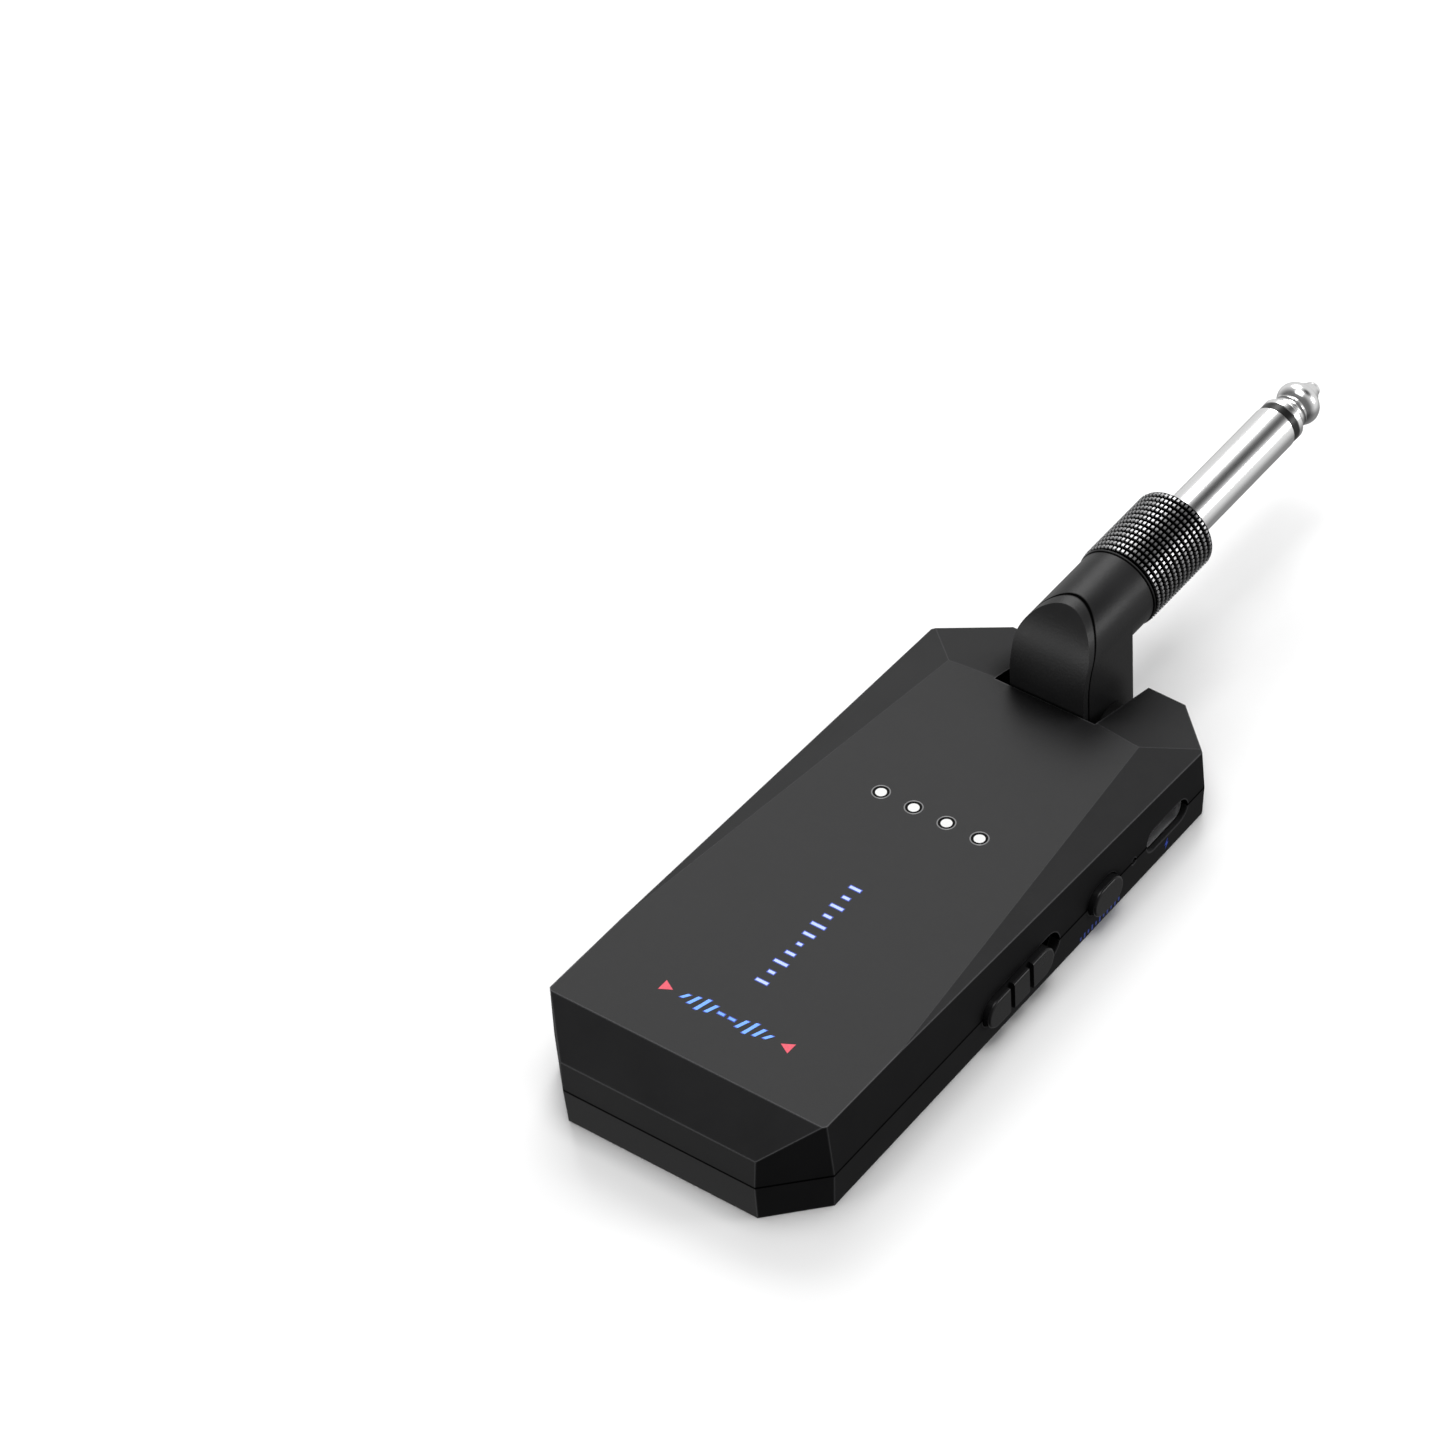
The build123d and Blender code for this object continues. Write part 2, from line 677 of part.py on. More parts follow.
def tact_switch_body():
    """Board switch behind the channel button, with a window for its plunger."""
    body = span_box(tact_front_x - tact_depth, tact_front_x, button_y - tact_length / 2,
                    button_y + tact_length / 2, board_top, board_top + tact_height)
    window = rod_x(tact_front_x - plunger_sunk - button_travel - plunger_room, flange_inner_x, button_y,
                   button_z, lever_width + 2 * tact_window_gap)
    return body - window


def tact_plunger():
    return rod_x(tact_front_x - plunger_sunk, flange_inner_x, button_y, button_z, lever_width)


def hinge_pin():
    """Hollow steel pin through both notch walls and the arm's barrel."""
    pin = rod_x(-pin_end_x, pin_end_x, hinge_y, hinge_height, pin_diameter)
    return pin - rod_x(-pin_end_x, pin_end_x, hinge_y, hinge_height, pin_bore)


def pin_clips():
    x0 = notch_half + wall + clip_gap
    ring = rod_x(x0, x0 + clip_thickness, hinge_y, hinge_height, clip_diameter)
    ring -= rod_x(x0, x0 + clip_thickness, hinge_y, hinge_height, pin_diameter)
    return [ring, mirror(ring, about=Plane.YZ)]


def friction_washers():
    """Thick washers that fill the gap each side of the arm and hold it where it is put."""
    x0, x1 = arm_half + washer_clearance, notch_half - washer_clearance
    ring = rod_x(x0, x1, hinge_y, hinge_height, washer_diameter)
    ring -= rod_x(x0, x1, hinge_y, hinge_height, pin_diameter + 2 * pin_clearance)
    return [ring, mirror(ring, about=Plane.YZ)]


def arm_side_profile(skin):
    """Side view of the elbow's post, its outer face moved inwards by skin."""
    radius = elbow_curve_radius - skin
    front = post_front_y + skin
    top = plug_height + arm_half
    centre_y = post_front_y + elbow_curve_radius
    rise = top - elbow_curve_start
    top_y = centre_y - (radius**2 - rise**2) ** 0.5
    mid_rise = rise / 2
    mid_y = centre_y - (radius**2 - mid_rise**2) ** 0.5
    outline = [
        Line((front, hinge_height), (front, elbow_curve_start)),
        ThreePointArc((front, elbow_curve_start), (mid_y, elbow_curve_start + mid_rise), (top_y, top)),
        Line((top_y, top), (post_rear_y, top)),
        Line((post_rear_y, top), (post_rear_y, hinge_height)),
        Line((post_rear_y, hinge_height), (front, hinge_height)),
    ]
    face = make_face(outline)
    side_plane = Plane(origin=(-arm_half, 0, 0), x_dir=(0, 1, 0), z_dir=(1, 0, 0))
    return extrude(side_plane * face, arm_width)


def arm_tunnel():
    """Post and boss seen along the plug: straight sides under a half-round top."""
    block = span_box(-arm_half, arm_half, post_front_y, post_rear_y, hinge_height, plug_height)
    return block + rod_y(0, post_front_y, post_rear_y, plug_height, arm_width)


def plug_elbow():
    """Post with its hinge barrel, the boss for the plug, and the wire channel inside."""
    elbow = arm_side_profile(cover_thickness) & arm_tunnel()
    below_cover = span_box(-arm_half, arm_half, post_front_y, hinge_y, hinge_height, cover_bottom)
    elbow = elbow + below_cover + rod_x(-arm_half, arm_half, hinge_y, hinge_height, arm_width)
    elbow += rod_y(0, post_rear_y - wall, boss_end_y, plug_height, arm_width)
    elbow -= rod_y(0, hinge_y, boss_end_y, plug_height, thread_diameter)
    elbow -= rod_y(0, cavity_rear_y, cavity_rear_y + elbow_cavity_length, plug_height, elbow_cavity_diameter)
    channel = wire_channel_width / 2
    elbow -= span_box(-channel, channel, hinge_y - channel, hinge_y + channel,
                      hinge_height + pin_diameter, plug_height)
    elbow -= rod_z(0, hinge_y, hinge_height, hinge_height + 2 * pin_diameter, pin_diameter)
    return elbow - rod_x(-arm_half, arm_half, hinge_y, hinge_height, pin_diameter + 2 * pin_clearance)


def elbow_cover():
    """Thumb-shaped cap on the elbow's outer face."""
    slab = (arm_side_profile(0) & arm_tunnel()) - arm_side_profile(cover_thickness)
    top = plug_height + arm_width
    return slab & span_box(-arm_half, arm_half, post_front_y, post_rear_y, cover_bottom, top)


def knurled_collar():
    """Ring nut around the plug's root, turned with a row of fine grooves."""
    y0 = boss_end_y + collar_gap
    collar = rod_y(0, y0, collar_front_y, plug_height, collar_diameter)
    collar = chamfer(collar.edges(), collar_chamfer)
    collar -= rod_y(0, y0, collar_front_y, plug_height, thread_diameter)
    pitch = collar_length / (collar_grooves + 1)
    inner = collar_diameter - 2 * collar_groove_depth
    for i in range(collar_grooves):
        y = y0 + (i + 1) * pitch
        near, far = y - collar_groove_width / 2, y + collar_groove_width / 2
        ring = rod_y(0, near, far, plug_height, 2 * collar_diameter)
        collar -= ring - rod_y(0, near, far, plug_height, inner)
    return collar


def plug_sleeve():
    """Ground contact: a tube with a wider threaded stem inside the collar and the boss."""
    stem_end = collar_front_y + stem_proud
    stem = rod_y(0, stem_rear_y, stem_end, plug_height, thread_diameter - 2 * tube_clearance)
    sleeve = stem + rod_y(0, stem_rear_y, sleeve_front_y, plug_height, plug_diameter)
    return sleeve - rod_y(0, stem_rear_y, sleeve_front_y, plug_height, sleeve_bore)


def tip_insulator():
    """Black ring between the sleeve and the tip, with its tube around the centre rod."""
    ring = rod_y(0, sleeve_front_y, insulator_front_y, plug_height, contact_diameter)
    start = stem_rear_y - tube_overhang
    tube = rod_y(0, start, insulator_front_y, plug_height, sleeve_bore - 2 * tube_clearance)
    return ring + tube - rod_y(0, start, insulator_front_y, plug_height, rod_diameter + 2 * tube_clearance)


def plug_tip():
    """Tip contact: shoulder, waist, ball and blunt cone, turned about the plug's axis."""
    full = contact_diameter / 2
    cone = (tip_cone_radius, tip_cone_end)
    throat = (tip_throat_radius, tip_throat_end)
    ball_end = (tip_ball_end_radius, tip_ball_end)
    blunt = (tip_blunt_radius, tip_length - tip_blunt_length)
    outline = [
        Line((0, 0), (full, 0)),
        Line((full, 0), (full, tip_shoulder)),
        Line((full, tip_shoulder), cone),
        ThreePointArc(cone, (tip_waist_radius, tip_waist_place), throat),
        ThreePointArc(throat, (tip_ball_radius, tip_ball_place), ball_end),
        Line(ball_end, blunt),
        Line(blunt, (tip_blunt_radius / 2, tip_length)),
        Line((tip_blunt_radius / 2, tip_length), (0, tip_length)),
        Line((0, tip_length), (0, 0)),
    ]
    tip = Pos(0, insulator_front_y, plug_height) * revolve(make_face(outline), Axis.Y)
    return tip - rod_y(0, insulator_front_y, insulator_front_y + rod_socket, plug_height, rod_diameter)


def tip_rod():
    return rod_y(0, cavity_rear_y + rod_setback, insulator_front_y + rod_socket, plug_height, rod_diameter)


def plug_lock_nut():
    """Hexagon nut that clamps the sleeve's stem inside the elbow."""
    y0 = cavity_rear_y + elbow_cavity_length - nut_thickness
    plane = Plane(origin=(0, y0, plug_height), x_dir=(1, 0, 0), z_dir=(0, 1, 0))
    nut = extrude(plane * RegularPolygon(nut_corner_width / 2, 6), nut_thickness)
    return nut - rod_y(0, y0, y0 + nut_thickness, plug_height, thread_diameter - 2 * tube_clearance)


def solder_lug(place, bore, reach):
    """Flat ring terminal with a tail pointing down."""
    y0 = cavity_rear_y + place
    y1 = y0 + lug_thickness
    lug = rod_y(0, y0, y1, plug_height, bore + 2 * lug_rim)
    lug += span_box(-lug_tail_width / 2, lug_tail_width / 2, y0, y1, plug_height - reach, plug_height)
    return lug - rod_y(0, y0, y1, plug_height, bore)


def tip_lug():
    return solder_lug(tip_lug_place, rod_diameter, tip_lug_reach)


def sleeve_lug():
    return solder_lug(sleeve_lug_place, thread_diameter - 2 * tube_clearance, sleeve_lug_reach)


def signal_wires():
    """Two wires from the solder lugs down the post to the hollow hinge pin."""
    low = hinge_height + pin_diameter + wire_gap
    lugs = ((tip_lug_place, tip_lug_reach), (sleeve_lug_place, sleeve_lug_reach))
    return [rod_z(0, cavity_rear_y + place + lug_thickness / 2, low, plug_height - reach, wire_diameter)
            for place, reach in lugs]


def pin_wires():
    """Wire pair from the board to the mouth of the hollow hinge pin, on the side away from the port."""
    x = -pin_end_x - pin_wire_out
    y = hinge_y - pin_diameter / 2 - saddle_land - pin_wire_run
    path = FilletPolyline(
        (-pin_end_x, hinge_y, hinge_height),
        (x, hinge_y, hinge_height),
        (x, y, hinge_height),
        (x, y, board_top),
        radius=wire_bend,
    )
    return sweep(Plane(origin=path @ 0, z_dir=path % 0) * Circle(wire_diameter / 2), path=path)


def build():
    housing = hollow_housing()
    return {
        "top_shell": top_shell(housing),
        "bottom_shell": bottom_shell(housing),
        "shell_screws": shell_screws(),
        "main_board": main_board(),
        "board_screws": board_screws(),
        "board_chips": board_chips(),
        "radio_chip": radio_chip(),
        "radio_shield": radio_shield(),
        "antenna": antenna(),
        "battery_cell": battery_cell(),
        "battery_pad": battery_pad(),
        "battery_leads": battery_leads(),
        "battery_connector": battery_connector(),
        "status_leds": status_leds(),
        "light_guide": light_guide(),
        "charge_led": charge_led(),
        "charge_lens": charge_lens(),
        "usb_shell": usb_shell(),
        "usb_tongue": usb_tongue(),
        "slide_switch_body": slide_switch_body(),
        "slide_switch_lever": slide_switch_lever(),
        "power_slider": power_slider(),
        "tact_switch_body": tact_switch_body(),
        "tact_plunger": tact_plunger(),
        "channel_button": channel_button(),
        "hinge_pin": hinge_pin(),
        "pin_clips": pin_clips(),
        "friction_washers": friction_washers(),
        "pin_wires": pin_wires(),
        "plug_elbow": plug_elbow(),
        "elbow_cover": elbow_cover(),
        "knurled_collar": knurled_collar(),
        "plug_sleeve": plug_sleeve(),
        "tip_insulator": tip_insulator(),
        "plug_tip": plug_tip(),
        "tip_rod": tip_rod(),
        "plug_lock_nut": plug_lock_nut(),
        "tip_lug": tip_lug(),
        "sleeve_lug": sleeve_lug(),
        "signal_wires": signal_wires(),
    }


os.makedirs("parts", exist_ok=True)
for node, shape in build().items():
    if isinstance(shape, list):
        shape = Compound(children=shape)
    export_step(shape, f"parts/{node}.step")
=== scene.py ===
from math import ceil, cos, hypot, pi, radians, sin

import bmesh
import bpy
from mathutils import Matrix, Vector


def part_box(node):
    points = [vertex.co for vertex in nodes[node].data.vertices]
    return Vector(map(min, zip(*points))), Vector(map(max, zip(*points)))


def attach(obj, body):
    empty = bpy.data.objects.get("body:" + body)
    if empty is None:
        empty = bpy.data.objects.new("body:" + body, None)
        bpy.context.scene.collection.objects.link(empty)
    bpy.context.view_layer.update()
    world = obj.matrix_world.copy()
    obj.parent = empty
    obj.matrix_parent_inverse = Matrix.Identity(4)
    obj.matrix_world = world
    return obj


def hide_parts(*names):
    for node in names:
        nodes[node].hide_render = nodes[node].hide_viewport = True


# Looks of a wireless guitar transmitter with a fold-out jack plug.
# The scene is in metres. Sizes given in mm say so, and MM turns them into metres.

MM = 0.001
PLUG_RADIUS = 3.175      # mm
COVER_THICKNESS = 1.2    # mm, of the cap on the elbow
COVER_ROLL = 14.1        # mm, radius of the elbow's outer curve
COVER_ROLL_START = 14    # mm, height where that curve starts
SEAM_DARK = 0.10         # mm from a joint where its dark line starts to fade
SEAM_CLEAR = 0.24        # mm from a joint where the line is gone
SAME_SIDE = 0.8          # least cosine between a face's normal and the side it is counted to
BLACK = (0.001, 0.001, 0.001)
UP = Vector((0, 0, 1))
RIGHT = Vector((1, 0, 0))
BACK = Vector((0, 1, 0))

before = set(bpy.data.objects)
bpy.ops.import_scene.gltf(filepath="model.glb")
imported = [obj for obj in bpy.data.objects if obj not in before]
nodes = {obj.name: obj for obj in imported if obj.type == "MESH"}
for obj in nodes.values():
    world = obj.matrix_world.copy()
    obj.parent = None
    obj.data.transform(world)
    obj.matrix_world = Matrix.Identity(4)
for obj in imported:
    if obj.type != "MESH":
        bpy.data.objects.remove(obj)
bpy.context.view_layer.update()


def centre_of(node):
    low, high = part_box(node)
    return (low + high) / 2


def radius_of(low, high):
    """Radius in mm of a round node whose axis lies along Y, from the corners of its box."""
    return (high.x - low.x) / 2 / MM


# ---------------------------------------------------------------- node material helpers

def new_material(name):
    """New material, with its node tree and its shader."""
    material = bpy.data.materials.new(name)
    material.use_nodes = True
    tree = material.node_tree
    shader = tree.nodes["Principled BSDF"]
    return material, tree, shader


def add(tree, kind, **values):
    """A node with attributes and input values set by name."""
    node = tree.nodes.new(kind)
    for key, value in values.items():
        if key in node.inputs:
            node.inputs[key].default_value = value
        else:
            setattr(node, key, value)
    return node


def noise(tree, vector, scale, detail=3.0, rough=0.55):
    """Noise whose scale is given as features per metre."""
    node = add(tree, "ShaderNodeTexNoise", Scale=scale, Detail=detail, Roughness=rough)
    tree.links.new(vector, node.inputs["Vector"])
    return node.outputs["Fac"]


def feed(tree, socket, term):
    """Set a socket to a constant, or link another socket to it."""
    if isinstance(term, bpy.types.NodeSocket):
        tree.links.new(term, socket)
    else:
        socket.default_value = term


def maths(tree, operation, *terms):
    """Result of a maths node; each term is a socket or a number."""
    node = add(tree, "ShaderNodeMath", operation=operation)
    for socket, term in zip(node.inputs, terms):
        feed(tree, socket, term)
    return node.outputs["Value"]


def vector_maths(tree, operation, *terms):
    """A vector maths node; each term is a socket or a constant vector."""
    node = add(tree, "ShaderNodeVectorMath", operation=operation)
    for socket, term in zip(node.inputs, terms):
        feed(tree, socket, term)
    return node


def dot_product(tree, first, second):
    return vector_maths(tree, "DOT_PRODUCT", first, second).outputs["Value"]


def length_of(tree, vector):
    return vector_maths(tree, "LENGTH", vector).outputs["Value"]


def size_of(tree, value):
    return maths(tree, "ABSOLUTE", value)


def remap(tree, value, low, high, out_low, out_high):
    """Value stretched from low..high to out_low..out_high and kept within it."""
    node = add(tree, "ShaderNodeMapRange")
    for key, number in (("From Min", low), ("From Max", high), ("To Min", out_low), ("To Max", out_high)):
        node.inputs[key].default_value = number
    tree.links.new(value, node.inputs["Value"])
    return node.outputs["Result"]


def mix_colour(tree, factor, first, second):
    """First colour where factor is 0 and second where it is 1; each is a socket or (r, g, b)."""
    node = add(tree, "ShaderNodeMix", data_type="RGBA")
    tree.links.new(factor, node.inputs["Factor"])
    colour_inputs = [socket for socket in node.inputs if socket.type == "RGBA"]
    for socket, colour in zip(colour_inputs, (first, second)):
        feed(tree, socket, (*colour, 1) if isinstance(colour, tuple) else colour)
    return next(socket for socket in node.outputs if socket.type == "RGBA")


def bump(tree, height, strength, distance):
    node = add(tree, "ShaderNodeBump", Strength=strength, Distance=distance)
    tree.links.new(height, node.inputs["Height"])
    return node.outputs["Normal"]


def object_place(tree):
    return add(tree, "ShaderNodeTexCoord").outputs["Object"]


def depth_across(tree, place, point, normal):
    """How far a shading point lies beyond a plane along its normal, in metres."""
    normal = normal.normalized()
    return maths(tree, "SUBTRACT", dot_product(tree, place, normal), point.dot(normal))


def shell_seam(tree, place):
    """Distance from the tilted parting plane, which halves the slider's and the port's openings."""
    front, back = centre_of("power_slider"), centre_of("usb_shell")
    along = back - front
    return size_of(tree, depth_across(tree, place, front, Vector((0, -along.z, along.y))))


def cover_seam(tree, place):
    """Distance from the joint behind the elbow's cap: an upright plane that rolls over into an arc."""
    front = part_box("elbow_cover")[0].y
    middle = Vector((0, front + COVER_ROLL * MM, COVER_ROLL_START * MM))
    spoke = add(tree, "ShaderNodeCombineXYZ")
    rise = maths(tree, "MAXIMUM", depth_across(tree, place, middle, UP), 0)
    tree.links.new(depth_across(tree, place, middle, BACK), spoke.inputs["X"])
    tree.links.new(rise, spoke.inputs["Y"])
    reach = length_of(tree, spoke.outputs["Vector"])
    return size_of(tree, maths(tree, "SUBTRACT", reach, (COVER_ROLL - COVER_THICKNESS) * MM))


def edge_mask(tree, width):
    """1 on the rounded edges of a part and 0 on its faces; width is in mm."""
    rounded = add(tree, "ShaderNodeBevel", samples=8, Radius=width * MM).outputs["Normal"]
    flat = add(tree, "ShaderNodeNewGeometry").outputs["True Normal"]
    return remap(tree, dot_product(tree, rounded, flat), 0.985, 0.9995, 1.0, 0.0)


def painted_shade_factor(tree, reach):
    """Factor of painted shade: 1 in the open and near 0 where a neighbour stands within reach, in mm."""
    shade = add(tree, "ShaderNodeAmbientOcclusion", samples=8, Distance=reach * MM)
    return remap(tree, shade.outputs["AO"], 0.62, 0.9, 0.1, 1.0)


def moulded_plastic(name, colour, rough, specular=0.35, grain=0.22, grain_height=0.5, scuffs=0.0,
                    drift=0.05, seam=None, painted_side_shade=False, painted_edge_highlight=0.0, painted_shade_reach=0.0):
    """Spark-eroded moulded plastic: fine grain, cloudy gloss, faint colour drift and rubbed spots.

    grain is the size of the texture in mm and grain_height its relief as a share of that size.
    seam gives the distance from a joint, which stays dark and dull. painted_edge_highlight is the width in mm
    of a lighter band along the part's edges, which is a painted highlight. painted_side_shade gives the walls
    that face along X a weaker sheen, which is painted shade. painted_shade_reach is how near in mm a
    neighbour darkens the skin with painted shade.
    """
    material, tree, shader = new_material(name)
    place = object_place(tree)
    fine = noise(tree, place, 1 / (grain * MM), detail=4)
    cloud = noise(tree, place, 90, detail=5, rough=0.6)
    lighter = tuple(c * 1.12 + 0.0008 for c in colour)
    darker = tuple(c * 0.9 for c in colour)
    tint = mix_colour(tree, remap(tree, cloud, 0.3, 0.7, 0.0, 1.0), darker, lighter)
    gloss = remap(tree, cloud, 0.25, 0.75, rough - drift, rough + drift)
    if scuffs:
        rubs = noise(tree, place, 420, detail=6, rough=0.7)
        rubbed = remap(tree, rubs, 0.6, 0.78, 0.0, scuffs)
        tint = mix_colour(tree, rubbed, tint, tuple(c * 2.4 + 0.01 for c in colour))
    sheen = specular
    # Painted shade: walls that face along X get a weaker sheen, so they look darker than the top.
    if painted_side_shade:
        facing = add(tree, "ShaderNodeSeparateXYZ")
        tree.links.new(add(tree, "ShaderNodeTexCoord").outputs["Normal"], facing.inputs["Vector"])
        across = size_of(tree, facing.outputs["X"])
        sheen = remap(tree, across, 0.55, 0.68, specular, specular * 0.18)
    # Painted highlight: a lighter colour along the rounded edges, where light would catch.
    if painted_edge_highlight:
        tint = mix_colour(tree, edge_mask(tree, painted_edge_highlight), tint, tuple(c * 4 for c in colour))
    if seam:
        clean = remap(tree, seam(tree, place), SEAM_DARK * MM, SEAM_CLEAR * MM, 0.0, 1.0)
        tint = mix_colour(tree, clean, BLACK, tint)
        sheen = maths(tree, "MULTIPLY", clean, sheen)
    # Painted shade: colour and sheen go dark where another part stands near, such as in front of the arm.
    if painted_shade_reach:
        clear = painted_shade_factor(tree, painted_shade_reach)
        tint = mix_colour(tree, clear, BLACK, tint)
        sheen = maths(tree, "MULTIPLY", clear, sheen)
    feed(tree, shader.inputs["Specular IOR Level"], sheen)
    tree.links.new(tint, shader.inputs["Base Color"])
    tree.links.new(gloss, shader.inputs["Roughness"])
    normal = bump(tree, fine, grain_height, grain * MM * 0.12)
    tree.links.new(normal, shader.inputs["Normal"])
    return material


def polished_metal(name, colour, rough, streak=0.03, haze=0.04):
    """Plated metal with turning marks around the Y axis and a faint haze."""
    material, tree, shader = new_material(name)
    place = object_place(tree)
    stretch = add(tree, "ShaderNodeMapping", Scale=(40, 2200, 40))
    tree.links.new(place, stretch.inputs["Vector"])
    marks = add(tree, "ShaderNodeTexNoise", Scale=1.0, Detail=1.0)
    tree.links.new(stretch.outputs["Vector"], marks.inputs["Vector"])
    cloud = noise(tree, place, 260, detail=5, rough=0.65)
    gloss = remap(tree, cloud, 0.3, 0.75, rough, rough + haze)
    tree.links.new(gloss, shader.inputs["Roughness"])
    tint = mix_colour(tree, cloud, colour, tuple(c * 0.93 for c in colour))
    tree.links.new(tint, shader.inputs["Base Color"])
    shader.inputs["Metallic"].default_value = 1.0
    normal = bump(tree, marks.outputs["Fac"], streak, 0.01 * MM)
    tree.links.new(normal, shader.inputs["Normal"])
    return material


def knurled_metal(name, colour, rough):
    """Black-plated metal with painted shade in its grooves: sunk from the collar's crowns, they go near
    black.
    """
    low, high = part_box("knurled_collar")
    crown = radius_of(low, high)
    material = polished_metal(name, colour, rough, streak=0.02, haze=0.06)
    tree = material.node_tree
    shader = tree.nodes["Principled BSDF"]
    to_axis = (0, 0, -(low.z + high.z) / 2)
    spoke = vector_maths(tree, "MULTIPLY_ADD", object_place(tree), (1, 0, 1), to_axis)
    radius = length_of(tree, spoke.outputs["Vector"])
    # Painted shade: the colour fades to near black below the crowns, in the grooves and between the teeth.
    raised = remap(tree, radius, (crown - 0.28) * MM, (crown - 0.06) * MM, 0.0, 1.0)
    plated = shader.inputs["Base Color"].links[0].from_socket
    tree.links.new(mix_colour(tree, raised, (0.004, 0.004, 0.004), plated), shader.inputs["Base Color"])
    return material


def print_ink(name, colour, glow):
    """Screen-printed ink with slight unevenness, which also glows a little: painted brightness that no lamp
    gives.
    """
    material, tree, shader = new_material(name)
    place = object_place(tree)
    uneven = noise(tree, place, 3500, detail=3)
    covered = remap(tree, uneven, 0.3, 0.7, 0.0, 1.0)
    tint = mix_colour(tree, covered, tuple(c * 0.82 for c in colour), colour)
    tree.links.new(tint, shader.inputs["Base Color"])
    tree.links.new(tint, shader.inputs["Emission Color"])
    # Painted light: the ink's glow makes the print brighter than the lamps make it.
    shader.inputs["Emission Strength"].default_value = glow
    shader.inputs["Roughness"].default_value = 0.5
    tree.links.new(bump(tree, uneven, 0.2, 0.01 * MM), shader.inputs["Normal"])
    return material


def lit_plastic(name, colour, glow):
    """Clear plastic lit from within, with a faint cloud in it."""
    material, tree, shader = new_material(name)
    place = object_place(tree)
    cloud = noise(tree, place, 1800, detail=2)
    tint = mix_colour(tree, cloud, colour, tuple(c * 0.94 for c in colour))
    tree.links.new(tint, shader.inputs["Base Color"])
    tree.links.new(tint, shader.inputs["Emission Color"])
    shader.inputs["Emission Strength"].default_value = glow
    shader.inputs["Roughness"].default_value = 0.25
    return material


# ---------------------------------------------------------------- mesh helpers

def new_object(name, data):
    """Object made of data, put in the scene."""
    item = bpy.data.objects.new(name, data)
    bpy.context.scene.collection.objects.link(item)
    return item


def mesh_object(name, mesh, material, body, smooth_angle=None):
    """Object made of a mesh, which rides a body; faces that meet below smooth_angle look rounded."""
    piece = new_object(name, mesh)
    mesh.materials.append(material)
    if smooth_angle is not None:
        mesh.shade_smooth()
        mesh.set_sharp_from_angle(angle=radians(smooth_angle))
    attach(piece, body)
    return piece


def held(profile, hold=0.06, longest=1.0):
    """Profile with points close to both ends of each straight run, so that its shading stays straight."""
    points = [profile[0]]
    for (r0, y0), (r1, y1) in zip(profile, profile[1:]):
        length = hypot(r1 - r0, y1 - y0)
        if length > 3 * hold:
            steps = ceil(length / longest)
            shares = [hold / length] + [i / steps for i in range(1, steps)] + [1 - hold / length]
            points += [(r0 + (r1 - r0) * t, y0 + (y1 - y0) * t) for t in shares]
        points.append((r1, y1))
    return points


def around_y(origin, radius, y, angle):
    """Point at radius and y, both in mm, turned by angle about the Y axis through origin."""
    return origin + Vector((radius * MM * sin(angle), y * MM, radius * MM * cos(angle)))


def quad_band(first, second, count):
    """Quads between two rings of count vertices each, which start at the indices first and second."""
    return [(first + i, first + j, second + j, second + i)
            for i, j in ((i, (i + 1) % count) for i in range(count))]


def lathe(name, profile, origin, material, body, segments=160, smooth_angle=28):
    """Closed surface turned about the Y axis through origin; profile is (radius, y) pairs in mm."""
    profile = held(profile)
    mesh = bpy.data.meshes.new(name)
    rings = []
    vertices, faces = [], []
    for radius, y in profile:
        if radius == 0:
            rings.append([len(vertices)])
            vertices.append(origin + Vector((0, y * MM, 0)))
            continue
        rings.append(list(range(len(vertices), len(vertices) + segments)))
        vertices += [around_y(origin, radius, y, 2 * pi * i / segments) for i in range(segments)]
    closed = profile[0] == profile[-1]
    if closed:
        rings[-1] = rings[0]
        vertices = vertices[:-segments]
    for first, second in zip(rings, rings[1:]):
        for i in range(segments):
            j = (i + 1) % segments
            corners = [first[i % len(first)], first[j % len(first)], second[j % len(second)],
                       second[i % len(second)]]
            unique = list(dict.fromkeys(corners))
            if len(unique) > 2:
                faces.append(unique)
    mesh.from_pydata(vertices, [], faces)
    fix_normals(mesh)
    return mesh_object(name, mesh, material, body, smooth_angle)


def fix_normals(mesh):
    build = bmesh.new()
    build.from_mesh(mesh)
    bmesh.ops.recalc_face_normals(build, faces=build.faces)
    build.to_mesh(mesh)
    build.free()


def flat_shapes(name, outlines, plane, thickness, material, body):
    """Thin raised shapes on a plane; outlines are lists of (u, v) in metres, seen from outside."""
    build = bmesh.new()
    for outline in outlines:
        low = [build.verts.new(plane @ Vector((u, v, -INK_SINK * MM))) for u, v in outline]
        high = [build.verts.new(plane @ Vector((u, v, thickness))) for u, v in outline]
        build.faces.new(high)
        build.faces.new(list(reversed(low)))
        count = len(outline)
        for i in range(count):
            j = (i + 1) % count
            build.faces.new((low[i], low[j], high[j], high[i]))
    bmesh.ops.recalc_face_normals(build, faces=build.faces)
    mesh = bpy.data.meshes.new(name)
    build.to_mesh(mesh)
    build.free()
    return mesh_object(name, mesh, material, body)


def largest_face(node, side):
    """Point and outward normal of a node's largest flat face that looks to a side."""
    groups = {}
    for polygon in nodes[node].data.polygons:
        if polygon.normal.dot(side) < SAME_SIDE:
            continue
        key = tuple(round(c, 2) for c in polygon.normal)
        area, centre, normal = groups.get(key, (0, Vector(), Vector()))
        groups[key] = (area + polygon.area, centre + polygon.center * polygon.area,
                       normal + polygon.normal * polygon.area)
    area, centre, normal = max(groups.values(), key=lambda group: group[0])
    return centre / area, normal.normalized()


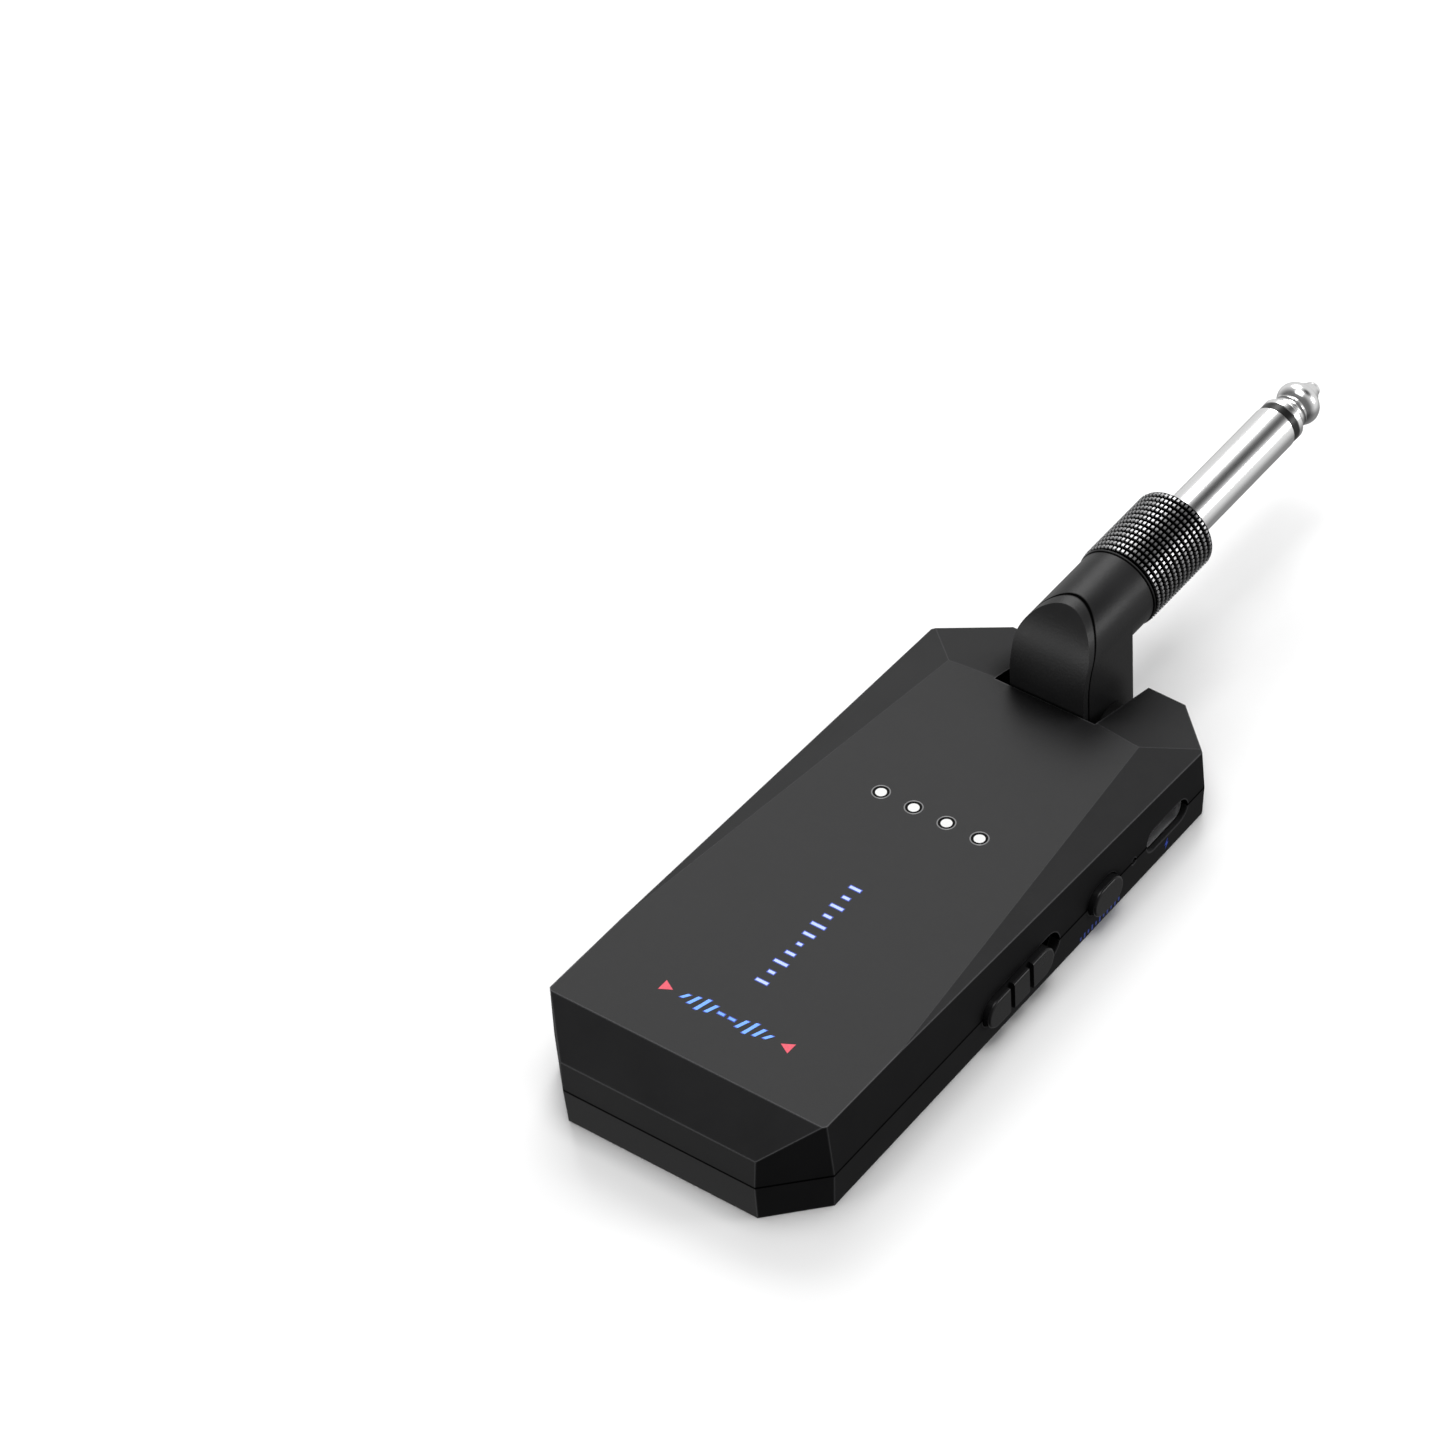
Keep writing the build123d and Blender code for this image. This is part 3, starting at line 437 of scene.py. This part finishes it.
def frame_at(point, u, v, w):
    """Matrix of a place, from its origin and its three axes."""
    matrix = Matrix((u, v, w)).transposed().to_4x4()
    matrix.translation = point
    return matrix


def plane_at(point, normal, along_u):
    """Matrix of a plane through point: u along along_u, v in the plane, w outward."""
    w = normal.normalized()
    u = (along_u - w * along_u.dot(w)).normalized()
    return frame_at(point, u, w.cross(u), w)


def dress(node, material, bevel=0.0, segments=3, angle=25, smooth=30):
    """Finish of a CAD node: its material, softened edges and smooth round faces."""
    piece = nodes[node]
    piece.data.materials.clear()
    piece.data.materials.append(material)
    piece.data.shade_smooth()
    piece.data.set_sharp_from_angle(angle=radians(smooth))
    if bevel:
        modifier = piece.modifiers.new("soft_edges", "BEVEL")
        modifier.width = bevel * MM
        modifier.segments = segments
        modifier.limit_method = "ANGLE"
        modifier.angle_limit = radians(angle)
        modifier.harden_normals = True
        modifier.use_clamp_overlap = True
        modifier.miter_outer = "MITER_ARC"


# ---------------------------------------------------------------- materials

# Both casing halves get painted shade on the walls that face along X and a painted highlight along their
# edges; the upper one also gets painted shade near the arm.
SHELL_TOP = moulded_plastic("shell_top", (0.014, 0.014, 0.0145), 0.42, specular=0.12, grain=0.16,
                            drift=0.015, seam=shell_seam, painted_side_shade=True, painted_edge_highlight=0.3, painted_shade_reach=9)
SHELL_BOTTOM = moulded_plastic("shell_bottom", (0.015, 0.015, 0.0155), 0.44, specular=0.12, grain=0.2,
                               drift=0.02, seam=shell_seam, painted_side_shade=True, painted_edge_highlight=0.3)
CONTROL = moulded_plastic("control_plastic", (0.008, 0.008, 0.0084), 0.26, specular=0.22, grain=0.1,
                          drift=0.02)
ELBOW = moulded_plastic("elbow_plastic", (0.012, 0.012, 0.0124), 0.36, specular=0.2, grain=0.3, scuffs=0.3,
                        seam=cover_seam)
COVER = moulded_plastic("elbow_cover", (0.014, 0.014, 0.0144), 0.40, specular=0.24, grain=0.3, scuffs=0.25,
                        seam=cover_seam)
WASHER = moulded_plastic("washer_nylon", (0.006, 0.006, 0.006), 0.5, specular=0.1, grain=0.2)
INSULATOR = moulded_plastic("insulator_black", (0.008, 0.008, 0.008), 0.3, specular=0.3, grain=0.1)
CHIP = moulded_plastic("chip_black", (0.02, 0.02, 0.022), 0.55, grain=0.08)
CONNECTOR = moulded_plastic("connector_white", (0.75, 0.73, 0.66), 0.45, grain=0.1)
FOAM = moulded_plastic("foam_pad", (0.03, 0.03, 0.03), 0.9, grain=0.35, grain_height=1.0)
TONGUE = moulded_plastic("port_tongue", (0.3, 0.3, 0.303), 0.4, grain=0.1)
PORT = polished_metal("port_steel", (0.75, 0.75, 0.76), 0.4, streak=0.2)
BOARD = moulded_plastic("circuit_board", (0.012, 0.11, 0.05), 0.35, grain=0.5)
WIRE = moulded_plastic("wire_red", (0.42, 0.02, 0.02), 0.4, grain=0.2)
CHROME = polished_metal("plug_chrome", (0.90, 0.90, 0.90), 0.2, streak=0.0, haze=0.02)
COLLAR = knurled_metal("collar_black", (0.34, 0.34, 0.344), 0.3)
STEEL = polished_metal("screw_steel", (0.5, 0.5, 0.51), 0.25, streak=0.2)
TIN = polished_metal("tinned_steel", (0.62, 0.62, 0.63), 0.22, streak=0.2)
GOLD = polished_metal("gold_contact", (0.83, 0.62, 0.3), 0.2)
FOIL = polished_metal("battery_foil", (0.66, 0.67, 0.69), 0.35, streak=0.4)
LIGHT = lit_plastic("light_guide", (0.5, 0.5, 0.495), 0.3)
LAMP = lit_plastic("led_white", (0.95, 0.93, 0.8), 0.4)
# Light grey colour of the thin ring around each light: a painted highlight on its edge.
RIM = moulded_plastic("light_rim", (0.2, 0.2, 0.202), 0.3, specular=0.5, grain=0.1)
# Near-black colour of the well around each light: painted shade in the recess.
WELL = moulded_plastic("light_well", (0.003, 0.003, 0.003), 0.6, specular=0.05, grain=0.1)
INK_PALE = print_ink("ink_pale_blue", (0.40, 0.50, 0.95), 0.35)
INK_SKY = print_ink("ink_sky_blue", (0.12, 0.33, 0.95), 0.35)
INK_BLUE = print_ink("ink_blue", (0.012, 0.05, 0.42), 0.2)
INK_CORAL = print_ink("ink_coral", (0.66, 0.045, 0.085), 0.25)
INK_SIDE = print_ink("ink_side_blue", (0.015, 0.04, 0.25), 0.3)


def dress_nodes():
    finishes = {
        "shell_screws": STEEL, "main_board": BOARD, "board_screws": STEEL, "board_chips": CHIP,
        "radio_chip": CHIP, "radio_shield": TIN, "antenna": GOLD, "battery_cell": FOIL,
        "battery_pad": FOAM, "battery_leads": WIRE, "battery_connector": CONNECTOR,
        "status_leds": LAMP, "light_guide": LIGHT, "charge_led": LAMP, "charge_lens": INSULATOR,
        "usb_shell": PORT, "usb_tongue": TONGUE, "slide_switch_body": CHIP,
        "slide_switch_lever": CONNECTOR, "tact_switch_body": CHIP, "tact_plunger": CONNECTOR,
        "hinge_pin": STEEL, "pin_clips": STEEL, "friction_washers": WASHER, "pin_wires": WIRE,
        "tip_rod": GOLD, "plug_lock_nut": GOLD, "tip_lug": GOLD, "sleeve_lug": GOLD,
        "signal_wires": WIRE,
    }
    for node, material in finishes.items():
        dress(node, material)
    dress("top_shell", SHELL_TOP, bevel=0.22)
    dress("bottom_shell", SHELL_BOTTOM, bevel=0.22)
    dress("power_slider", CONTROL, bevel=0.12)
    dress("channel_button", CONTROL, bevel=0.12)
    dress("plug_elbow", ELBOW, bevel=0.25)
    dress("elbow_cover", COVER, bevel=0.3)


# ---------------------------------------------------------------- plug and collar

# All sizes in mm.
TEETH = 60
TOOTH_OUTLINE = ((0.0, False), (0.18, False), (0.34, True), (0.84, True))   # share of a tooth, raised or not
TOOTH_DEPTH = 0.32
TOOTH_INSET = 0.03       # from the collar's full radius to the tooth tops
KNURL_BANDS = 13
END_SHARE = 0.3          # plain part at each end, as a share of a band
GROOVE_WIDTH = 0.46
GROOVE_DEPTH = 0.6
GROOVE_FLOOR = 0.5       # flat bottom of a groove, as a share of its width
GROOVE_SLOPE = 0.3       # side of a groove next to the teeth before it, as a share of its width
LIP_WIDTH = 0.2
LIP_INSET = 0.12
RIM_INSET = 0.35
LAST_GROOVE = 0.05       # width of the groove before the last lip
COLLAR_BORE_GAP = 0.05


def knurl_rows(length, radius):
    """Rows of the collar's skin: (y, radius of the tooth tops, radius of the gaps between teeth)."""
    valley, lip, rim = radius - GROOVE_DEPTH, radius - LIP_INSET, radius - RIM_INSET
    top, gap = radius - TOOTH_INSET, radius - TOOTH_DEPTH
    pitch = length / (KNURL_BANDS + 2 * END_SHARE)
    rows = [(0.0, rim, rim), (LIP_WIDTH, lip, lip)]
    y = END_SHARE * pitch
    for _ in range(KNURL_BANDS):
        rows += [(y, valley, valley), (y + GROOVE_WIDTH * GROOVE_FLOOR, valley, valley),
                 (y + GROOVE_WIDTH, top, gap), (y + pitch - GROOVE_WIDTH * GROOVE_SLOPE, top, gap)]
        y += pitch
    rows += [(length - LIP_WIDTH - LAST_GROOVE, valley, valley), (length - LIP_WIDTH, lip, lip),
             (length, rim, rim)]
    return rows


def knurled_collar():
    """Turned ring nut: rows of fine axial teeth parted by narrow grooves."""
    low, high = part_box("knurled_collar")
    length = (high.y - low.y) / MM
    stem_low, stem_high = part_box("plug_sleeve")
    bore = radius_of(stem_low, stem_high) + COLLAR_BORE_GAP
    centre = centre_of("knurled_collar")
    origin = Vector((centre.x, low.y, centre.z))
    rows = knurl_rows(length, radius_of(low, high))
    count = TEETH * len(TOOTH_OUTLINE)
    vertices, faces = [], []
    for y, top, gap in rows:
        for i in range(TEETH):
            vertices += [around_y(origin, top if raised else gap, y, 2 * pi * (i + share) / TEETH)
                         for share, raised in TOOTH_OUTLINE]
    for row in range(len(rows) - 1):
        faces += quad_band(row * count, (row + 1) * count, count)
    last_row = (len(rows) - 1) * count
    front, back = len(vertices), len(vertices) + count
    for y in (0.0, length):
        vertices += [around_y(origin, bore, y, 2 * pi * i / count) for i in range(count)]
    for first, second in ((0, front), (last_row, back), (front, back)):
        faces += quad_band(first, second, count)
    mesh = bpy.data.meshes.new("knurled_collar_detail")
    mesh.from_pydata(vertices, [], faces)
    fix_normals(mesh)
    piece = mesh_object("knurled_collar_detail", mesh, COLLAR, "plug_arm", smooth_angle=20)
    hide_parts("knurled_collar")


def arc_points(centre, radius, start, end, steps):
    """(radius, y) points on an arc of a profile; angles in degrees from the outward direction."""
    points = []
    for i in range(steps + 1):
        angle = radians(start + (end - start) * i / steps)
        points.append((centre[0] + radius * cos(angle), centre[1] + radius * sin(angle)))
    return points


# All sizes in mm.
SLEEVE_BORE = 2.0
STEM_CHAMFER = 0.15
STEM_PAST_COLLAR = 0.3
SLEEVE_CHAMFER = 0.12
RING_BORE = 1.05
RING_INSET = 0.03        # from the plug's full radius to the insulating ring's skin
RING_CORNER_INSET = 0.1
RING_CHAMFER = 0.08


def plug():
    """Sleeve, insulating ring and tip of the jack plug, turned with softened corners."""
    sleeve_low, sleeve_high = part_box("plug_sleeve")
    tip_low, tip_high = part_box("plug_tip")
    collar_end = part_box("knurled_collar")[1].y
    axis = centre_of("plug_tip")
    full = radius_of(tip_low, tip_high)
    stem = radius_of(sleeve_low, sleeve_high)
    length = (sleeve_high.y - sleeve_low.y) / MM
    stem_end = (collar_end - sleeve_low.y) / MM + STEM_PAST_COLLAR
    sleeve = [(SLEEVE_BORE, 0), (stem - STEM_CHAMFER, 0), (stem, STEM_CHAMFER),
              (stem, stem_end - STEM_CHAMFER), (stem - STEM_CHAMFER, stem_end), (PLUG_RADIUS, stem_end),
              (PLUG_RADIUS, length - SLEEVE_CHAMFER), (PLUG_RADIUS - SLEEVE_CHAMFER, length),
              (SLEEVE_BORE, length), (SLEEVE_BORE, 0)]
    start = Vector((axis.x, sleeve_low.y, axis.z))
    piece = lathe("plug_sleeve_detail", sleeve, start, CHROME, "plug_arm")
    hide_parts("plug_sleeve")

    ring_start = Vector((axis.x, sleeve_high.y, axis.z))
    width = (tip_low.y - sleeve_high.y) / MM
    skin, corner = full - RING_INSET, full - RING_CORNER_INSET
    insulator = [(RING_BORE, 0), (corner, 0), (skin, RING_CHAMFER), (skin, width - RING_CHAMFER),
                 (corner, width), (RING_BORE, width), (RING_BORE, 0)]
    piece = lathe("tip_insulator_detail", insulator, ring_start, INSULATOR, "plug_arm")
    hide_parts("tip_insulator")

    tip_length = (tip_high.y - tip_low.y) / MM
    shoulder = [(0, 0), (full - 0.08, 0), (full, 0.08), (full, 0.85), (full - 0.06, 0.97), (full - 0.2, 1.05),
                (2.62, 1.45)]
    neck = arc_points((2.87, 2.0), 0.6, 245, 125, 10)
    ball = arc_points((1.2, 4.5), 1.85, -52, 62, 22)
    nose = arc_points((0.5, tip_length - 0.6), 0.6, 15, 90, 8)
    tip = shoulder + neck + ball + [(1.12, tip_length - 0.75)] + nose + [(0, tip_length)]
    tip_start = Vector((axis.x, tip_low.y, axis.z))
    piece = lathe("plug_tip_detail", tip, tip_start, CHROME, "plug_arm", smooth_angle=40)
    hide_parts("plug_tip")


# ---------------------------------------------------------------- printed marks

# All sizes in mm.
INK_SINK = 0.01          # how far a mark reaches into the skin, so that no gap shows
MARK_BORDER = 0.13       # darker ink around a mark
BORDER_HEIGHT = 0.012
MARK_HEIGHT = 0.022
WEDGE_HEIGHT = 0.02
SIDE_MARK_HEIGHT = 0.015
ROW_FROM_FRONT = 31.7    # from the casing's front to the middle of the level row
SIGN_FROM_FRONT = 14.7
LEVELS = (1.7, 0.9, 1.9, 1.3, 0.7, 1.6, 2.0, 1.1, 1.8, 1.0, 1.6)   # lengths of the row's bars
LEVEL_WIDTH = 0.42
LEVEL_PITCH = 1.95
SIGN_BARS = ((2.3, 1.6), (3.6, 2.3), (4.9, 1.6), (6.2, 0.9))       # distance from the middle, height
SIGN_BAR_WIDTH = 0.5
SIGN_BAR_SLANT = 0.3
DASH_PLACE = 0.8         # from the sign's middle to its two dashes
DASH_LENGTH = 0.9
DASH_WIDTH = 0.34
WEDGE_PLACE = 8.9        # from the sign's middle to the wedges beside it
WEDGE_LENGTH = 1.6
WEDGE_WIDTH = 1.8
TICK_COUNT = 11
TICK_PITCH = 0.85
TICK_WIDTH = 0.32
TICK_HEIGHTS = (0.6, 0.9)
TICKS_BEFORE_BUTTON = 0.4
TICKS_FROM_BOTTOM = 0.7
BOLT_FROM_BOTTOM = 1.6
BOLT = ((0.25, 0.9), (-0.45, -0.1), (-0.05, -0.1), (-0.25, -0.9), (0.45, 0.1), (0.05, 0.1))


def bar(u, v, width, height, slant=0.0):
    """Four corners of a bar centred on (u, v), its top shifted by slant; mm in, metres out."""
    corners = [(-width / 2 - slant, -height / 2), (width / 2 - slant, -height / 2),
               (width / 2 + slant, height / 2), (-width / 2 + slant, height / 2)]
    return [((u + a) * MM, (v + b) * MM) for a, b in corners]


def wedge(u, v, width, height, point):
    """Triangle pointing along +u or -u."""
    base, tip = u - point * width / 2, u + point * width / 2
    return [(base * MM, (v - height / 2) * MM), (tip * MM, v * MM), (base * MM, (v + height / 2) * MM)]


def grown(outlines, border):
    """Outlines pushed outwards from their own middles, for the darker edge under a mark."""
    result = []
    for outline in outlines:
        cu = sum(p[0] for p in outline) / len(outline)
        cv = sum(p[1] for p in outline) / len(outline)
        result.append([(u + border * MM * (1 if u > cu else -1), v + border * MM * (1 if v > cv else -1))
                       for u, v in outline])
    return result


def edged_marks(name, outlines, plane, ink):
    """Marks on the upper casing, over a darker border."""
    border = grown(outlines, MARK_BORDER)
    flat_shapes(name + "_edge", border, plane, BORDER_HEIGHT * MM, INK_BLUE, "housing")
    flat_shapes(name, outlines, plane, MARK_HEIGHT * MM, ink, "housing")


def printed_marks():
    """A level-meter row along the middle, a signal sign across it and two small wedges."""
    point, normal = largest_face("top_shell", UP)
    slope = -normal.y / normal.z
    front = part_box("top_shell")[0].y

    def plane_from_front(distance):
        y = front + distance * MM
        return plane_at(Vector((0, y, point.z + slope * (y - point.y))), normal, RIGHT)

    row = [bar(0, (i - (len(LEVELS) - 1) / 2) * LEVEL_PITCH, level, LEVEL_WIDTH)
           for i, level in enumerate(LEVELS)]
    edged_marks("level_row", row, plane_from_front(ROW_FROM_FRONT), INK_PALE)

    sign_plane = plane_from_front(SIGN_FROM_FRONT)
    left = [(-u, height) for u, height in reversed(SIGN_BARS)]
    sign = [bar(u, 0, SIGN_BAR_WIDTH, height, SIGN_BAR_SLANT) for u, height in (*left, *SIGN_BARS)]
    sign += [bar(u, 0, DASH_LENGTH, DASH_WIDTH) for u in (-DASH_PLACE, DASH_PLACE)]
    edged_marks("signal_sign", sign, sign_plane, INK_SKY)
    wedges = [wedge(-WEDGE_PLACE * way, 0, WEDGE_LENGTH, WEDGE_WIDTH, way) for way in (1, -1)]
    flat_shapes("signal_wedges", wedges, sign_plane, WEDGE_HEIGHT * MM, INK_CORAL, "housing")


# All sizes in mm; a profile is (radius, height above the skin) pairs.
LIGHT_COUNT = 4
LIGHT_END = 1.5          # from the light guide's end to the middle of its last light
WELL_PROFILE = ((0.74, -0.24), (1.1, -0.24), (1.1, 0.0), (0.74, -0.06))
RIM_PROFILE = ((1.09, -0.2), (1.24, -0.2), (1.24, 0.0), (1.16, 0.03), (1.09, 0.0))


def ring(name, centre, normal, profile, material, segments=48):
    """Closed ring around normal; profile is (radius, height) pairs in mm."""
    plane = plane_at(centre, normal, RIGHT)
    size = len(profile)
    vertices, faces = [], []
    for i in range(segments):
        angle = 2 * pi * i / segments
        vertices += [plane @ Vector((r * MM * cos(angle), r * MM * sin(angle), h * MM)) for r, h in profile]
        faces += quad_band(i * size, (i + 1) % segments * size, size)
    mesh = bpy.data.meshes.new(name)
    mesh.from_pydata(vertices, [], faces)
    fix_normals(mesh)
    mesh_object(name, mesh, material, "housing", smooth_angle=30)


def light_rims():
    """A well and a thin ring around each light guide: the well's near black is painted shade and the ring's
    light grey is a painted highlight.
    """
    low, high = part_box("light_guide")
    point, normal = largest_face("top_shell", UP)
    first = low.x + LIGHT_END * MM
    pitch = (high.x - low.x - 2 * LIGHT_END * MM) / (LIGHT_COUNT - 1)
    y = (low.y + high.y) / 2
    for i in range(LIGHT_COUNT):
        x = first + i * pitch
        top = point.z - ((x - point.x) * normal.x + (y - point.y) * normal.y) / normal.z
        centre = Vector((x, y, top))
        ring("light_well", centre, normal, WELL_PROFILE, WELL)
        ring("light_rim", centre, normal, RIM_PROFILE, RIM)


def side_marks():
    """Small ticks under the button and a charging sign under the port, on the lower side wall."""
    point, normal = largest_face("bottom_shell", RIGHT)
    button = centre_of("channel_button")
    port = centre_of("usb_shell")

    def mark(name, outlines, y, z, ink):
        x = point.x - ((y - point.y) * normal.y + (z - point.z) * normal.z) / normal.x
        plane = plane_at(Vector((x, y, z)), normal, BACK)
        flat_shapes(name, outlines, plane, SIDE_MARK_HEIGHT * MM, ink, "housing")

    ticks = [bar((i - (TICK_COUNT - 1) / 2) * TICK_PITCH, 0, TICK_WIDTH, TICK_HEIGHTS[i % 2])
             for i in range(TICK_COUNT)]
    mark("channel_ticks", ticks, button.y - TICKS_BEFORE_BUTTON * MM, TICKS_FROM_BOTTOM * MM, INK_SIDE)
    bolt = [(u * MM, v * MM) for u, v in BOLT]
    mark("charging_sign", [bolt], port.y, BOLT_FROM_BOTTOM * MM, INK_BLUE)


# ---------------------------------------------------------------- stage, light and camera

CAMERA_AZIMUTH = 39.14      # degrees from -Y towards +X
CAMERA_ELEVATION = 43.73
CAMERA_ROLL = -4.03
CAMERA_DISTANCE = 0.7987
CAMERA_LENS = 155.82        # mm
SENSOR_WIDTH = 36           # mm
AIM = Vector((-0.0336, 0.0115, 0.010))
FLOOR_REACH = 6.0
FLOOR_DROP = 0.05           # mm, keeps the floor clear of the casing's flat bottom


def direction(azimuth, elevation):
    """Unit vector towards a place in the sky; azimuth in degrees from -Y towards +X."""
    a, e = radians(azimuth), radians(elevation)
    return Vector((sin(a) * cos(e), -cos(a) * cos(e), sin(e)))


def camera():
    back = direction(CAMERA_AZIMUTH, CAMERA_ELEVATION)
    level = UP.cross(back).normalized()
    upright = back.cross(level)
    roll = radians(CAMERA_ROLL)
    right = level * cos(roll) + upright * sin(roll)
    data = bpy.data.cameras.new("camera")
    data.lens = CAMERA_LENS
    data.sensor_width = SENSOR_WIDTH
    data.sensor_fit = "HORIZONTAL"
    data.clip_start = 0.01
    holder = new_object("camera", data)
    holder.matrix_world = frame_at(AIM + back * CAMERA_DISTANCE, right, back.cross(right), back)
    bpy.context.scene.camera = holder


def floor():
    """Plain white floor, which doesn't light or mirror in the object."""
    mesh = bpy.data.meshes.new("floor")
    corners = [(x * FLOOR_REACH, y * FLOOR_REACH, -FLOOR_DROP * MM)
               for x, y in ((-1, -1), (1, -1), (1, 1), (-1, 1))]
    mesh.from_pydata(corners, [], [(0, 1, 2, 3)])
    material, _, shader = new_material("floor_paper")
    shader.inputs["Base Color"].default_value = (0.92, 0.92, 0.92, 1)
    shader.inputs["Roughness"].default_value = 1.0
    shader.inputs["Specular IOR Level"].default_value = 0.0
    mesh.materials.append(material)
    plane = new_object("floor", mesh)
    # Keeps the white floor from washing out the dark plastic just above it.
    plane.visible_diffuse = False
    plane.visible_glossy = False


def softbox(name, azimuth, elevation, distance, width, height, power):
    """Soft rectangular light aimed at the object; distance, width and height in metres, power in watts."""
    data = bpy.data.lights.new(name, "AREA")
    data.shape = "RECTANGLE"
    data.size = width
    data.size_y = height
    data.energy = power
    lamp = new_object(name, data)
    place = direction(azimuth, elevation) * distance
    lamp.location = place
    lamp.rotation_euler = place.to_track_quat("Z", "Y").to_euler()


def studio_world():
    """Soft room light: brighter behind, dimmer in front and below, a dark panel and a bright patch."""
    world = bpy.data.worlds.new("studio")
    world.use_nodes = True
    tree = world.node_tree
    background = tree.nodes["Background"]
    way = add(tree, "ShaderNodeTexCoord").outputs["Generated"]

    def patch(azimuth, elevation, edge, middle, level):
        """Goes from 1 at the angle edge from a direction to level at the angle middle from it."""
        nearness = dot_product(tree, way, direction(azimuth, elevation))
        return remap(tree, nearness, cos(radians(edge)), cos(radians(middle)), 1.0, level)

    strength = remap(tree, dot_product(tree, way, BACK), -0.35, 0.35, 0.15, 0.75)
    low = remap(tree, dot_product(tree, way, UP), -0.62, -0.25, 0.35, 1.0)
    panel = patch(147, 50, edge=27, middle=6, level=0.02)
    glow = patch(-40, -42, edge=50, middle=12, level=9.0)
    for share in (low, panel, glow):
        strength = maths(tree, "MULTIPLY", strength, share)
    tree.links.new(strength, background.inputs["Strength"])
    background.inputs["Color"].default_value = (1.0, 1.0, 1.0, 1)
    bpy.context.scene.world = world


def studio():
    studio_world()
    softbox("back_softbox", 218, 45, distance=1.3, width=0.7, height=0.6, power=6.6)
    softbox("top_softbox", 0, 88, distance=1.4, width=0.8, height=0.8, power=11)
    softbox("front_softbox", -28, 9, distance=1.2, width=0.5, height=0.25, power=3)
    softbox("rim_strip", 127, 16, distance=1.2, width=0.4, height=0.35, power=3)


dress_nodes()
knurled_collar()
plug()
printed_marks()
side_marks()
light_rims()
camera()
floor()
studio()
bpy.context.scene.view_settings.view_transform = "Standard"
